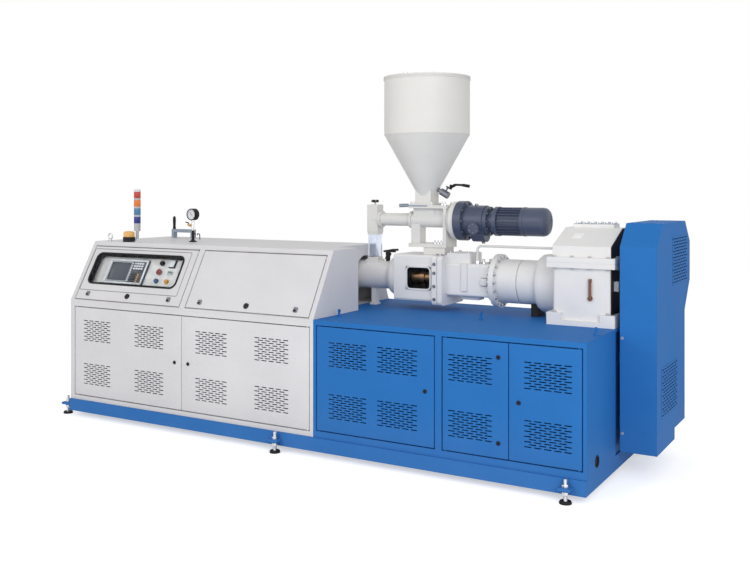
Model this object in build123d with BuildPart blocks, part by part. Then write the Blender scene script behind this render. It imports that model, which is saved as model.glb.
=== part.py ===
"""Twin-screw plastic extruder: cabinets on a plinth, barrel, gearbox, belt guard, feeder and hopper.

Millimetres. +X runs from the die end to the belt guard, -Y is the operator's side, +Z is up.
The origin is on the floor, under the middle of the whole machine.
"""
import math
import os

from build123d import *

os.makedirs("parts", exist_ok=True)

# Plinth and feet
plinth_height = 85.0
foot_height = 40.0
foot_reach_end = 95.0
foot_reach_side = 55.0
foot_tab_width = 70.0
foot_tab_thick = 16.0
foot_tab_drop = 10.0
foot_bolt_r = 10.0
foot_bolt_rise = 45.0
foot_pad_r = 30.0
foot_pad_height = 14.0
foot_from_seam = 267.0
foot_from_right = 104.0
foot_from_corner = 45.0

# Belt guard
guard_gap = 23.0
guard_width = 212.0
guard_overhang = 173.0
guard_front = 345.0
guard_bottom = 112.0
guard_top = 615.0
guard_shoulder = 133.0
guard_front_bevel = 140.0
guard_rear_bevel = 137.0
guard_waist_high = 234.0
guard_waist_low = 53.0
guard_leg_rear = 375.0
guard_toe_rise = 68.0
guard_toe_rear = 95.0
guard_bracket = 70.0
guard_bracket_spread = 400.0
guard_bracket_low = 175.0
guard_bracket_high = 160.0
guard_vent_depth = 8.0
guard_vent_columns = 4
guard_vent_rows = 8
guard_vent_back = 240.0
guard_vent_drop = 225.0
guard_vent_front = 33.0
guard_vent_rise = 338.0

# Cabinets and hood
cabinet_inset = 12.0
cabinet_height = 730.0
cabinet_depth = 553.0
bed_depth = 704.0
white_length = 2161.0
wall = 20.0
frame_thick = 25.0
deck_thick = 15.0
hood_clearance = 81.0
hood_front_run = 237.0
hood_rear_run = 188.0
hood_setback = 155.0
roof_thick = 25.0
arch_gap = 33.0
die_opening_gap = 15.0
bed_recess = 12.0
cable_hole_r = 30.0
cable_hole_y = 194.0
cable_hole_z = 59.0
lift_pin_r = 8.0
lift_pin_height = 30.0
lift_pin_collar_r = 14.0
lift_pin_collar = 6.0
lift_eye_r = 13.0
lift_eye_hole_r = 6.0
lift_eye_thick = 8.0
lift_left_x = 60.0
lift_left_y = 220.0
lift_middle_x = 840.0
lift_middle_y = 15.0
lift_right_x = 33.0
lift_right_y = 285.0

# Doors and covers
leaf_thick = 22.0
leaf_skin = 6.0
leaf_rim = 24.0
door_gap = 8.0
pin_r = 5.0
pin_fit = 0.05
pin_inset = 14.0
pin_setback = 9.0
pin_reach = 10.0
white_door_left = 40.0
white_seam_shift = 11.0
white_door_right = 25.0
white_door_low = 31.0
white_door_head = 30.0
blue_door_low = 41.0
blue_door_head = 16.0
blue_stile = 20.0
blue_door_seam = 443.0
blue_post_left = 847.0
blue_post_width = 42.0
cover_stile = 14.0
cover_post = 46.0
cover_rail = 6.0
window_left = 64.0
window_right = 112.0
window_low = 141.0
window_high = 66.0
window_corner = 40.0
window_lap = 15.0
pane_thick = 5.0
latch_size = 26.0
latch_rise = 8.0
latch_edge = 42.0
latch_end = 110.0
lock_r = 9.0
lock_rise = 6.0
lock_edge = 56.0
lock_end = 90.0
vent_slot = 74.0
vent_slot_high = 12.0
vent_pitch = 95.0
vent_row = 34.0
vent_columns = 3
vent_rows = 6
vent_low = 157.0
vent_high = 165.0
vent_outer = 230.0
vent_inner = 300.0
vent_seam = 260.0
vent_blue_inner = 251.0
vent_middle_door = 178.0
vent_right_door = 196.0

# Control console behind the window
console_setback = 62.0
console_margin = 40.0
console_depth = 230.0
terminal_width = 378.0
terminal_height = 195.0
terminal_thick = 20.0
terminal_offset = 128.0
terminal_bezel = 22.0
screen_width = 200.0
screen_depth = 4.0
button_r = 14.0
button_rise = 22.0
button_pitch = 98.0
button_row = 69.0
button_lift = 16.0
button_gap = 122.0

# Barrel
drive_clearance = 26.0
barrel_r = 97.0
barrel_out = 60.0
die_flange_r = 125.0
die_flange_thick = 50.0
die_pcd = 205.0
die_hole_r = 8.5
die_hole_depth = 36.0
die_hole_count = 8
screw_r = 33.0
screw_pitch = 54.0
screw_mouth = 40.0
bell_start = 81.0
feed_port_back = 154.0
feed_port_lap = 8.0
feed_port_rise = 10.0
support_near = 140.0
support_width = 32.0
support_depth = 52.0
support_foot_lap = 8.0
support_foot_thick = 14.0
support_wrap = 40.0
running_fit = 0.3
heater_r = 126.0
heater_count = 4
heater_gap = 50.0
heater_start = 250.0
heater_end = 86.0
barrel_valve_back = 50.0
barrel_valve_r = 15.0
barrel_valve_rise = 62.0
barrel_lever = 60.0

# Coupling housing, distribution box and torque cylinder
bell_small_r = 104.0
bell_length = 80.0
housing_length = 300.0
housing_back = 30.0
housing_low = 148.0
housing_high = 160.0
housing_edge = 14.0
sight_end = 24.0
sight_width = 170.0
sight_margin = 18.0
sight_centre = 4.0
sight_corner = 22.0
sight_cover = 6.0
sight_lap = 22.0
coupling_r = 40.0
coupling_ring_r = 52.0
coupling_ring = 34.0
coupling_spread = 54.0
coupling_gap = 14.0
joint_length = 75.0
joint_half = 172.0
joint_low = 172.0
joint_corner = 30.0
joint_groove = 6.0
box_length = 328.0
box_half = 110.0
box_low = 106.0
box_high = 111.0
box_edge = 16.0
box_block = 170.0
box_block_high = 177.0
box_rib_start = 117.0
box_rib_width = 41.0
box_rib_low = 71.0
box_rib_rise = 12.0
box_drain_start = 90.0
box_drain_length = 120.0
box_drain_half = 45.0
box_drain_drop = 28.0
cylinder_flange_r = 175.0
cylinder_flange = 34.0
cylinder_r = 143.0
cylinder_length = 269.0
cylinder_groove = 8.0
groove_back = 121.0
output_small_r = 152.0
output_r = 187.0
output_bell = 45.0
output_length = 150.0
saddle_width = 50.0
saddle_half = 60.0

# Gearbox
gear_flange_length = 416.0
gear_flange_half = 330.0
gear_flange_thick = 32.0
gear_wall_inset = 30.0
gear_margin = 11.0
gear_half = 305.0
gear_foot = 30.0
gear_foot_block = 75.0
gear_foot_block_length = 90.0
gear_boss_r = 160.0
gear_boss_gap = 3.0
gear_lug_drop = 165.0
gear_lug_height = 58.0
gear_lug_front = 250.0
gear_lug_width = 60.0
gear_cover_side = 67.0
gear_cover_top_half = 58.0
gear_cover_rise = 102.0
gear_plate_margin = 50.0
gear_plate_thick = 22.0
gear_edge = 18.0
gauge_x = 234.0
gauge_low = 167.0
gauge_length = 116.0
gauge_tube_r = 9.0
gauge_bulb_r = 15.0
gauge_stand = 12.0

# Feeder
feeder_start = 79.0
feeder_length = 285.0
feeder_half = 83.0
feeder_base = 48.0
feeder_axis = 182.0
feeder_top = 94.0
feeder_post = 67.0
feeder_post_half = 44.0
feeder_plate = 25.0
feeder_top_plate = 12.0
pedestal_start = 109.0
pedestal_length = 160.0
pedestal_half = 70.0
trough_r = 50.0
chute_start = 18.0
chute_half = 46.0
chute_window = 62.0
chute_window_high = 34.0
chute_window_end = 18.0
chute_window_drop = 8.0
chute_window_depth = 8.0
gate_slot = 10.0
gate_rail = 20.0
gate_fit = 1.0
gate_out = 78.0
gate_in = 200.0
gate_lip = 8.0
gate_lip_rise = 24.0
tube_r = 44.0
spout_size = 84.0
spout_low = 91.0
spout_high = 103.0
spout_wall = 6.0
spout_knob_r = 22.0
spout_knob_rise = 34.0
adapter_r = 127.0
adapter_length = 66.0
reducer_flange_r = 133.0
reducer_flange = 56.0
reducer_r = 104.0
reducer_length = 140.0
reducer_foot_r = 62.0
reducer_foot_drop = 76.0
reducer_boss_r = 38.0
reducer_boss_drop = 46.0
reducer_boss_rise = 24.0
reducer_ring_r = 97.0
reducer_ring = 28.0
reducer_neck_r = 72.0
reducer_neck = 39.0
motor_r = 78.0
motor_fin_r = 93.0
motor_fin = 4.0
motor_fin_count = 24
motor_fin_root = 2.0
motor_length = 160.0
cowl_r = 93.0
cowl_length = 178.0
cowl_round = 36.0

# Hopper
hopper_x = 99.0
hopper_r = 294.0
hopper_wall = 5.0
hopper_neck = 120.0
hopper_flange_thick = 12.0
hopper_neck_high = 55.0
hopper_cone = 427.0
hopper_cylinder = 384.0
lid_thick = 10.0
lid_lip = 4.0
lid_handle_length = 120.0
lid_handle_rise = 35.0
lid_handle_r = 7.0
valve_height = 52.0
valve_nipple_r = 14.0
valve_nipple = 28.0
valve_body_r = 24.0
valve_body = 62.0
valve_stem_r = 6.0
valve_stem = 22.0
lever_length = 130.0
lever_width = 22.0
lever_thick = 6.0
lever_step = 34.0
lever_arm = 28.0
lever_hub_r = 14.0

# Oil pipe
pipe_r = 8.0
pipe_start = 48.0
pipe_front = 84.0
pipe_rise = 34.0
pipe_bend = 30.0

# Roof fittings
tower_x = 338.0
tower_back = 99.0
tower_post_r = 12.0
tower_post_gap = 4.0
tower_r = 24.0
tower_body = 58.0
lens_height = 50.0
lens_pitch = 63.0
lens_count = 4
lens_core_r = 14.0
tower_cap = 14.0
beacon_gap = 3.4
beacon_turn = 51.0
beacon_r = 45.0
beacon_base = 46.0
beacon_dome_r = 40.0
beacon_dome = 30.0
gauge_post_x = 724.0
gauge_post_back = 283.0
gauge_post_r = 10.0
gauge_post_height = 185.0
dial_r = 42.0
dial_thick = 36.0
bracket_x = 150.0
bracket_length = 225.0
bracket_from_rear = 112.0
bracket_width = 40.0
bracket_height = 70.0
bracket_bar = 26.0
bracket_leg = 24.0
bracket_handle_r = 9.0
bracket_handle = 150.0

# Lengths and radii that follow from these
drive_length = bell_start + bell_length + housing_length + joint_length + box_length
drive_length += cylinder_flange + cylinder_length + output_length + gear_flange_length + gear_margin
plinth_length = white_length + drive_length
plinth_depth = cabinet_depth + bed_depth
axis_height = output_r + drive_clearance
hood_height = axis_height + heater_r + hood_clearance
arch_r = barrel_r + arch_gap
die_opening_r = die_flange_r + die_opening_gap
housing_half = coupling_spread + coupling_ring_r + coupling_gap + housing_back
bell_large_r = housing_half
sight_height = 2 * (coupling_ring_r + sight_margin)
sight_depth = 2 * housing_half - housing_back
gate_thick = gate_slot - 2 * running_fit
gate_half = feeder_half - gate_rail - gate_fit
hopper_flange = 2 * feeder_half
hopper_cone_r = hopper_neck / 2 - hopper_wall
feed_port = spout_size + 2 * feed_port_lap
tower_post = beacon_base + beacon_dome + tower_post_gap
over = 1.0

# Planes and levels that the pieces share
x_left = -(foot_reach_end + plinth_length + guard_gap + guard_width) / 2 + foot_reach_end
x_right = x_left + plinth_length
x_seam = x_left + white_length
x_hood_end = x_seam - hood_setback
y_front = -(foot_reach_side + plinth_depth + guard_overhang) / 2 + foot_reach_side
y_back = y_front + plinth_depth
y_cab = y_front + cabinet_inset
y_rear = y_back - cabinet_inset
y_bed = y_front + cabinet_depth
y_axis = y_bed + bed_depth / 2
z_plinth = foot_height + plinth_height
z_deck = z_plinth + cabinet_height
z_rail = z_deck - deck_thick
z_roof = z_deck + hood_height
z_eave = z_roof - roof_thick
z_axis = z_deck + axis_height

slope_length = math.hypot(hood_front_run, hood_height)
slope_sine = hood_height / slope_length
slope_cosine = hood_front_run / slope_length
slope_plane = Plane(
    origin=(0, y_cab, z_deck), x_dir=(1, 0, 0), z_dir=(0, -slope_sine, slope_cosine)
)
rear_length = math.hypot(hood_rear_run, hood_height)


def y_slope(z):
    """Front face of the hood at height z."""
    return y_cab + hood_front_run * (z - z_deck) / hood_height


def y_rear_slope(z):
    """Rear face of the hood at height z."""
    return y_rear - hood_rear_run * (z - z_deck) / hood_height


def slab(x0, x1, y0, y1, z0, z1, mode=Mode.ADD):
    """A box between two corners."""
    with Locations(((x0 + x1) / 2, (y0 + y1) / 2, (z0 + z1) / 2)):
        Box(x1 - x0, y1 - y0, z1 - z0, mode=mode)


def prism(points, x0, x1, mode=Mode.ADD):
    """A profile in Y and Z, drawn out along X."""
    with BuildSketch(Plane.YZ.offset(x0)) as profile:
        with BuildLine():
            Polyline(*points, close=True)
        make_face()
    extrude(profile.sketch, amount=x1 - x0, mode=mode)


def rod(start, direction, radius, length, mode=Mode.ADD):
    """A round bar from a point along a direction."""
    with BuildSketch(Plane(origin=start, z_dir=direction)) as profile:
        Circle(radius)
    extrude(profile.sketch, amount=length, mode=mode)


def turned(points, y, z):
    """A profile of (x, radius) points revolved round a line along X."""
    with BuildSketch(Plane(origin=(0, y, z), x_dir=(1, 0, 0), z_dir=(0, -1, 0))) as profile:
        with BuildLine():
            Polyline(*points, close=True)
        make_face()
    revolve(profile.sketch, axis=Axis((0, y, z), (1, 0, 0)))


def dome(x0, r0, x1, r1):
    """Points (x, radius) of a quarter ellipse that rises from (x0, r0) and levels off at (x1, r1)."""
    points = []
    for angle in (0, 30, 60, 90):
        turn = math.radians(angle)
        points.append((x0 + (x1 - x0) * (1 - math.cos(turn)), r0 + (r1 - r0) * math.sin(turn)))
    return points


def vents(plane, columns, rows, depth):
    """A field of staggered slots round a plane's origin, cut to a depth below it."""
    with BuildSketch(plane) as profile:
        for row in range(rows):
            count = columns - row % 2
            with Locations((0, (row - (rows - 1) / 2) * vent_row)):
                with GridLocations(vent_pitch, vent_row, count, 1):
                    Rectangle(vent_slot, vent_slot_high)
    extrude(profile.sketch, amount=-depth, mode=Mode.SUBTRACT)


def save(builder, name):
    """Name a finished piece and write it."""
    builder.part.label = name
    export_step(builder.part, f"parts/{name}.step")


# Plinth and feet

with BuildPart() as plinth:
    slab(x_left, x_right, y_front, y_back, foot_height, z_plinth)
save(plinth, "plinth")

tab_high = z_plinth - foot_tab_drop - foot_bolt_rise + foot_tab_thick
foot_side_x = (x_seam - foot_from_seam, x_right - foot_from_right)
foot_end_y = (y_front + foot_from_corner, y_back - foot_from_corner)
foot_places = [(x, y_front, 0, -1, foot_reach_side) for x in foot_side_x]
foot_places += [(x, y_back, 0, 1, foot_reach_side) for x in foot_side_x]
foot_places += [(x_left, y, -1, 0, foot_reach_end) for y in foot_end_y]

with BuildPart() as levelling_feet:
    for foot_x, foot_y, out_x, out_y, reach in foot_places:
        end_x = foot_x + out_x * reach
        end_y = foot_y + out_y * reach
        half_x = foot_tab_width / 2 * abs(out_y)
        half_y = foot_tab_width / 2 * abs(out_x)
        slab(
            min(foot_x, end_x) - half_x,
            max(foot_x, end_x) + half_x,
            min(foot_y, end_y) - half_y,
            max(foot_y, end_y) + half_y,
            tab_high - foot_tab_thick,
            tab_high,
        )
        bolt_x = end_x - out_x * foot_pad_r
        bolt_y = end_y - out_y * foot_pad_r
        rod((bolt_x, bolt_y, 0), (0, 0, 1), foot_pad_r, foot_pad_height)
        with BuildSketch(Plane.XY):
            with Locations((bolt_x, bolt_y)):
                RegularPolygon(foot_bolt_r, 6)
        extrude(amount=tab_high + foot_bolt_rise)
save(levelling_feet, "levelling_feet")

# White cabinet and hood

with BuildPart() as left_end_wall:
    prism(
        [
            (y_cab, z_plinth),
            (y_cab, z_deck),
            (y_slope(z_roof), z_roof),
            (y_rear_slope(z_roof), z_roof),
            (y_rear, z_deck),
            (y_rear, z_plinth),
        ],
        x_left,
        x_left + wall,
    )
    rod((x_left, y_axis, z_axis), (1, 0, 0), die_opening_r, wall, Mode.SUBTRACT)
save(left_end_wall, "left_end_wall")

white_door_x0 = x_left + white_door_left
white_door_x1 = x_seam - white_door_right
white_door_z0 = z_plinth + white_door_low
white_door_z1 = z_rail - white_door_head
white_seam_x = (white_door_x0 + white_door_x1) / 2 - white_seam_shift
blue_left_x0 = x_seam + blue_stile
blue_left_x1 = x_seam + blue_post_left
blue_pair_x0 = blue_left_x1 + blue_post_width
blue_pair_x1 = x_right - blue_stile
blue_seam_x = x_right - blue_door_seam
blue_door_z0 = z_plinth + blue_door_low
blue_door_z1 = z_rail - blue_door_head
pin_y = y_cab + pin_setback


def hinge_x(x0, x1, hinge):
    """Pin line of a leaf that hangs at its left (-1) or right (1) edge."""
    if hinge < 0:
        return x0 + door_gap + pin_inset
    return x1 - door_gap - pin_inset


def pin_holes(x, z0, z1):
    """Sockets for a door's two pins, in the rails over and under it."""
    depth = pin_reach + running_fit
    rod((x, pin_y, z1), (0, 0, 1), pin_r + pin_fit, depth, Mode.SUBTRACT)
    rod((x, pin_y, z0), (0, 0, -1), pin_r + pin_fit, depth, Mode.SUBTRACT)


with BuildPart() as white_front_frame:
    slab(x_left + wall, x_seam, y_cab, y_cab + frame_thick, z_plinth, z_rail)
    slab(
        white_door_x0,
        white_door_x1,
        y_cab,
        y_cab + frame_thick,
        white_door_z0,
        white_door_z1,
        Mode.SUBTRACT,
    )
    pin_holes(hinge_x(white_door_x0, white_seam_x, -1), white_door_z0, white_door_z1)
    pin_holes(hinge_x(white_seam_x, white_door_x1, 1), white_door_z0, white_door_z1)
save(white_front_frame, "white_front_frame")

with BuildPart() as machine_bed:
    slab(x_left + wall, x_right - bed_recess, y_bed, y_rear, z_plinth, z_rail)
save(machine_bed, "machine_bed")

with BuildPart() as white_deck:
    slab(x_left + wall, x_seam, y_cab, y_bed, z_rail, z_deck)
    slab(x_left + wall, x_hood_end, y_bed, y_rear, z_rail, z_deck)
save(white_deck, "white_deck")

with BuildPart() as cabinet_partition:
    slab(x_seam - wall, x_seam, y_cab + frame_thick, y_bed, z_plinth, z_rail)
save(cabinet_partition, "cabinet_partition")

slope_thick = frame_thick / slope_sine
cover_x0 = x_left + wall + cover_stile
cover_x1 = white_seam_x - cover_post / 2
cover_x2 = white_seam_x + cover_post / 2
cover_x3 = x_seam - wall - cover_stile
cover_w0 = cover_rail
cover_w1 = (z_eave - z_deck) / slope_sine - cover_rail
hinge_w = cover_w1 - door_gap - pin_inset
cover_spans = ((cover_x0, cover_x1), (cover_x2, cover_x3))


def slope_point(x, w, depth=0.0):
    """A point on the sloped front: x along, w up the slope, depth into the hood."""
    return (
        x,
        y_cab + slope_cosine * w + slope_sine * depth,
        z_deck + slope_sine * w - slope_cosine * depth,
    )


def slope_slab(x0, x1, w0, w1, depth0, depth1, mode=Mode.ADD):
    """A box lying on the slope, between two depths below its face."""
    with BuildSketch(slope_plane.offset(-depth1)) as profile:
        with Locations(((x0 + x1) / 2, (w0 + w1) / 2)):
            Rectangle(x1 - x0, w1 - w0)
    extrude(profile.sketch, amount=depth1 - depth0, mode=mode)


with BuildPart() as hood_front_frame:
    prism(
        [
            (y_cab, z_deck),
            (y_slope(z_eave), z_eave),
            (y_slope(z_eave) + slope_thick, z_eave),
            (y_cab + slope_thick, z_deck),
        ],
        x_left + wall,
        x_seam - wall,
    )
    for span_x0, span_x1 in cover_spans:
        slope_slab(span_x0, span_x1, cover_w0, cover_w1, -over, frame_thick + over, Mode.SUBTRACT)
        for pin_x, way in ((span_x0, -1), (span_x1, 1)):
            rod(
                slope_point(pin_x, hinge_w, pin_setback),
                (way, 0, 0),
                pin_r + pin_fit,
                pin_reach + running_fit,
                Mode.SUBTRACT,
            )
save(hood_front_frame, "hood_front_frame")

with BuildPart() as hood_roof:
    prism(
        [
            (y_slope(z_eave), z_eave),
            (y_slope(z_roof), z_roof),
            (y_rear_slope(z_roof), z_roof),
            (y_rear_slope(z_eave), z_eave),
        ],
        x_left + wall,
        x_hood_end,
    )
    prism(
        [
            (y_slope(z_eave), z_eave),
            (y_slope(z_roof), z_roof),
            (y_bed, z_roof),
            (y_bed, z_eave),
        ],
        x_hood_end,
        x_seam,
    )
save(hood_roof, "hood_roof")

rear_thick = frame_thick * rear_length / hood_height
with BuildPart() as hood_rear_panel:
    prism(
        [
            (y_rear, z_deck),
            (y_rear_slope(z_eave), z_eave),
            (y_rear_slope(z_eave) - rear_thick, z_eave),
            (y_rear - rear_thick, z_deck),
        ],
        x_left + wall,
        x_hood_end,
    )
save(hood_rear_panel, "hood_rear_panel")

with BuildPart() as hood_right_wall:
    prism(
        [(y_cab, z_deck), (y_slope(z_eave), z_eave), (y_bed, z_eave), (y_bed, z_deck)],
        x_seam - wall,
        x_seam,
    )
    slab(x_hood_end - wall, x_seam - wall, y_bed - wall, y_bed, z_deck, z_eave)
    prism(
        [
            (y_bed, z_deck),
            (y_bed, z_eave),
            (y_rear_slope(z_eave) - rear_thick, z_eave),
            (y_rear - rear_thick, z_deck),
        ],
        x_hood_end - wall,
        x_hood_end,
    )
    rod((x_hood_end - wall, y_axis, z_axis), (1, 0, 0), arch_r, wall, Mode.SUBTRACT)
    slab(
        x_hood_end - wall,
        x_hood_end,
        y_axis - arch_r,
        y_axis + arch_r,
        z_deck,
        z_axis,
        Mode.SUBTRACT,
    )
save(hood_right_wall, "hood_right_wall")


def door(name, x0, x1, z0, z1, hinge, free_gap, vent_xs, lock_zs):
    """A folded-sheet door in its opening, with vents, locks and a pin at each end of its hinge edge."""
    left = x0 + (door_gap if hinge < 0 else free_gap)
    right = x1 - (door_gap if hinge > 0 else free_gap)
    low = z0 + door_gap
    high = z1 - door_gap
    line = hinge_x(x0, x1, hinge)
    lock_x = right - lock_edge if hinge < 0 else left + lock_edge
    with BuildPart() as leaf:
        slab(left, right, y_cab, y_cab + leaf_thick, low, high)
        slab(
            left + leaf_rim,
            right - leaf_rim,
            y_cab + leaf_skin,
            y_cab + leaf_thick,
            low + leaf_rim,
            high - leaf_rim,
            Mode.SUBTRACT,
        )
        rod((line, pin_y, high), (0, 0, 1), pin_r, door_gap + pin_reach)
        rod((line, pin_y, low), (0, 0, -1), pin_r, door_gap + pin_reach)
        for vent_x in vent_xs:
            for vent_z in (low + vent_low, high - vent_high):
                vent_face = Plane(origin=(vent_x, y_cab, vent_z), x_dir=(1, 0, 0), z_dir=(0, -1, 0))
                vents(vent_face, vent_columns, vent_rows, leaf_skin)
        with BuildSketch(Plane.XZ.offset(-y_cab)):
            with Locations(*[(lock_x, lock_z) for lock_z in lock_zs]):
                RegularPolygon(lock_r, 8)
        extrude(amount=lock_rise)
    save(leaf, name)


seam_gap = door_gap / 2
white_lock_z = (white_door_z0 + white_door_z1) / 2
door(
    "white_left_door",
    white_door_x0,
    white_seam_x,
    white_door_z0,
    white_door_z1,
    -1,
    seam_gap,
    (white_door_x0 + vent_outer, white_seam_x - vent_inner),
    (white_lock_z,),
)
door(
    "white_right_door",
    white_seam_x,
    white_door_x1,
    white_door_z0,
    white_door_z1,
    1,
    seam_gap,
    (white_seam_x + vent_seam, white_door_x1 - vent_inner),
    (white_lock_z,),
)


def cover(name, x0, x1, window):
    """A sloped cover hung at its top edge, with two latches and a lock along its foot."""
    left = x0 + door_gap
    right = x1 - door_gap
    low = cover_w0 + door_gap
    high = cover_w1 - door_gap
    with BuildPart() as leaf:
        slope_slab(left, right, low, high, 0, leaf_thick)
        slope_slab(
            left + leaf_rim,
            right - leaf_rim,
            low + leaf_rim,
            high - leaf_rim,
            leaf_skin,
            leaf_thick + over,
            Mode.SUBTRACT,
        )
        for pin_x, way in ((left, -1), (right, 1)):
            rod(
                slope_point(pin_x, hinge_w, pin_setback),
                (way, 0, 0),
                pin_r,
                door_gap + pin_reach,
            )
        if window:
            with BuildSketch(slope_plane):
                with Locations((window_x, window_w)):
                    RectangleRounded(window_width, window_rise, window_corner)
            extrude(amount=-leaf_skin, mode=Mode.SUBTRACT)
        for latch_x in (left + latch_end, (left + right) / 2, right - latch_end):
            slope_slab(
                latch_x - latch_size / 2,
                latch_x + latch_size / 2,
                low + latch_edge - latch_size / 2,
                low + latch_edge + latch_size / 2,
                -latch_rise,
                0,
            )
    save(leaf, name)


window_width = cover_x1 - cover_x0 - window_left - window_right
window_rise = cover_w1 - cover_w0 - window_low - window_high
window_x = cover_x0 + window_left + window_width / 2
window_w = cover_w0 + window_low + window_rise / 2
cover("left_cover", cover_x0, cover_x1, True)
cover("right_cover", cover_x2, cover_x3, False)

with BuildPart() as cover_window:
    slope_slab(
        window_x - window_width / 2 - window_lap,
        window_x + window_width / 2 + window_lap,
        window_w - window_rise / 2 - window_lap,
        window_w + window_rise / 2 + window_lap,
        leaf_skin,
        leaf_skin + pane_thick,
    )
save(cover_window, "cover_window")

# Control console

console_x0 = window_x - window_width / 2 - console_margin
console_x1 = window_x + window_width / 2 + console_margin
console_shift = console_setback / slope_sine
console_high = z_deck + slope_sine * (window_w + window_rise / 2)
with BuildPart() as control_console:
    prism(
        [
            (y_cab + console_shift, z_deck),
            (y_slope(console_high) + console_shift, console_high),
            (y_slope(console_high) + console_shift + console_depth, console_high),
            (y_slope(console_high) + console_shift + console_depth, z_deck),
        ],
        console_x0,
        console_x1,
    )
save(control_console, "control_console")

terminal_x = window_x - terminal_offset
terminal_x0 = terminal_x - terminal_width / 2
screen_x0 = terminal_x0 + terminal_bezel
face_depth = console_setback
with BuildPart() as operator_terminal:
    slope_slab(
        terminal_x0,
        terminal_x0 + terminal_width,
        window_w - terminal_height / 2,
        window_w + terminal_height / 2,
        face_depth - terminal_thick,
        face_depth,
    )
    slope_slab(
        screen_x0,
        screen_x0 + screen_width,
        window_w - terminal_height / 2 + terminal_bezel,
        window_w + terminal_height / 2 - terminal_bezel,
        face_depth - terminal_thick,
        face_depth - terminal_thick + screen_depth,
        Mode.SUBTRACT,
    )
save(operator_terminal, "operator_terminal")

button_x = terminal_x0 + terminal_width + button_gap
button_w = window_w + button_lift
with BuildPart() as control_buttons:
    for column in range(2):
        for row in range(3):
            with BuildSketch(slope_plane.offset(-face_depth)):
                with Locations((button_x + column * button_pitch, button_w + (row - 1) * button_row)):
                    Circle(button_r)
            extrude(amount=button_rise)
save(control_buttons, "control_buttons")

# Blue cabinet

with BuildPart() as blue_front_frame:
    slab(x_seam, x_right, y_cab, y_cab + frame_thick, z_plinth, z_rail)
    for open_x0, open_x1 in ((blue_left_x0, blue_left_x1), (blue_pair_x0, blue_pair_x1)):
        slab(
            open_x0,
            open_x1,
            y_cab,
            y_cab + frame_thick,
            blue_door_z0,
            blue_door_z1,
            Mode.SUBTRACT,
        )
    pin_holes(hinge_x(blue_left_x0, blue_left_x1, -1), blue_door_z0, blue_door_z1)
    pin_holes(hinge_x(blue_pair_x0, blue_seam_x, -1), blue_door_z0, blue_door_z1)
    pin_holes(hinge_x(blue_seam_x, blue_pair_x1, 1), blue_door_z0, blue_door_z1)
save(blue_front_frame, "blue_front_frame")

with BuildPart() as blue_end_wall:
    slab(x_right - wall, x_right, y_cab + frame_thick, y_bed, z_plinth, z_rail)
    rod(
        (x_right - wall, y_front + cable_hole_y, z_plinth + cable_hole_z),
        (1, 0, 0),
        cable_hole_r,
        wall,
        Mode.SUBTRACT,
    )
save(blue_end_wall, "blue_end_wall")

lift_pins = (
    (x_seam + lift_left_x, y_front + lift_left_y),
    (x_right - lift_middle_x, y_bed - lift_middle_y),
    (x_right - lift_right_x, y_front + lift_right_y),
)
with BuildPart() as blue_deck:
    slab(x_seam, x_right, y_cab, y_bed, z_rail, z_deck)
    slab(x_hood_end, x_right, y_bed, y_rear, z_rail, z_deck)
    for lift_x, lift_y in lift_pins:
        rod((lift_x, lift_y, z_deck), (0, 0, 1), lift_pin_r, lift_pin_height)
        rod((lift_x, lift_y, z_deck), (0, 0, 1), lift_pin_collar_r, lift_pin_collar)
        eye_x = lift_x - lift_eye_thick / 2
        eye_z = z_deck + lift_pin_height + lift_eye_hole_r
        rod((eye_x, lift_y, eye_z), (1, 0, 0), lift_eye_r, lift_eye_thick)
        rod((lift_x - lift_pin_r, lift_y, eye_z), (1, 0, 0), lift_eye_hole_r, 2 * lift_pin_r, Mode.SUBTRACT)
save(blue_deck, "blue_deck")

blue_lock_z = (blue_door_z0 + blue_door_z1) / 2
door(
    "blue_left_door",
    blue_left_x0,
    blue_left_x1,
    blue_door_z0,
    blue_door_z1,
    -1,
    door_gap,
    (blue_left_x0 + vent_outer, blue_left_x1 - vent_blue_inner),
    (blue_lock_z,),
)
door(
    "blue_middle_door",
    blue_pair_x0,
    blue_seam_x,
    blue_door_z0,
    blue_door_z1,
    -1,
    seam_gap,
    (blue_pair_x0 + vent_middle_door,),
    (blue_door_z0 + lock_end, blue_door_z1 - lock_end),
)
door(
    "blue_right_door",
    blue_seam_x,
    blue_pair_x1,
    blue_door_z0,
    blue_door_z1,
    1,
    seam_gap,
    (blue_pair_x1 - vent_right_door,),
    (blue_lock_z,),
)

# Barrel

x_die = x_left - barrel_out
x_bell = x_seam + bell_start
port_x = x_bell - feed_port_back
barrel_run = x_bell - x_left
z_port = z_axis + barrel_r + feed_port_rise

with BuildPart() as barrel:
    turned(
        [
            (x_die, 0),
            (x_die, die_flange_r),
            (x_die + die_flange_thick, die_flange_r),
            (x_die + die_flange_thick, barrel_r),
            (x_bell, barrel_r),
            (x_bell, 0),
        ],
        y_axis,
        z_axis,
    )
    slab(
        port_x - feed_port / 2,
        port_x + feed_port / 2,
        y_axis - feed_port / 2,
        y_axis + feed_port / 2,
        z_axis,
        z_port,
    )
    with BuildSketch(Plane(origin=(x_die, y_axis, z_axis), z_dir=(1, 0, 0))):
        with PolarLocations(die_pcd / 2, die_hole_count, start_angle=180 / die_hole_count):
            Circle(die_hole_r)
    extrude(amount=die_hole_depth, mode=Mode.SUBTRACT)
    for side in (-1, 1):
        rod(
            (x_die, y_axis + side * screw_pitch / 2, z_axis),
            (1, 0, 0),
            screw_r,
            screw_mouth,
            Mode.SUBTRACT,
        )
save(barrel, "barrel")

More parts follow.
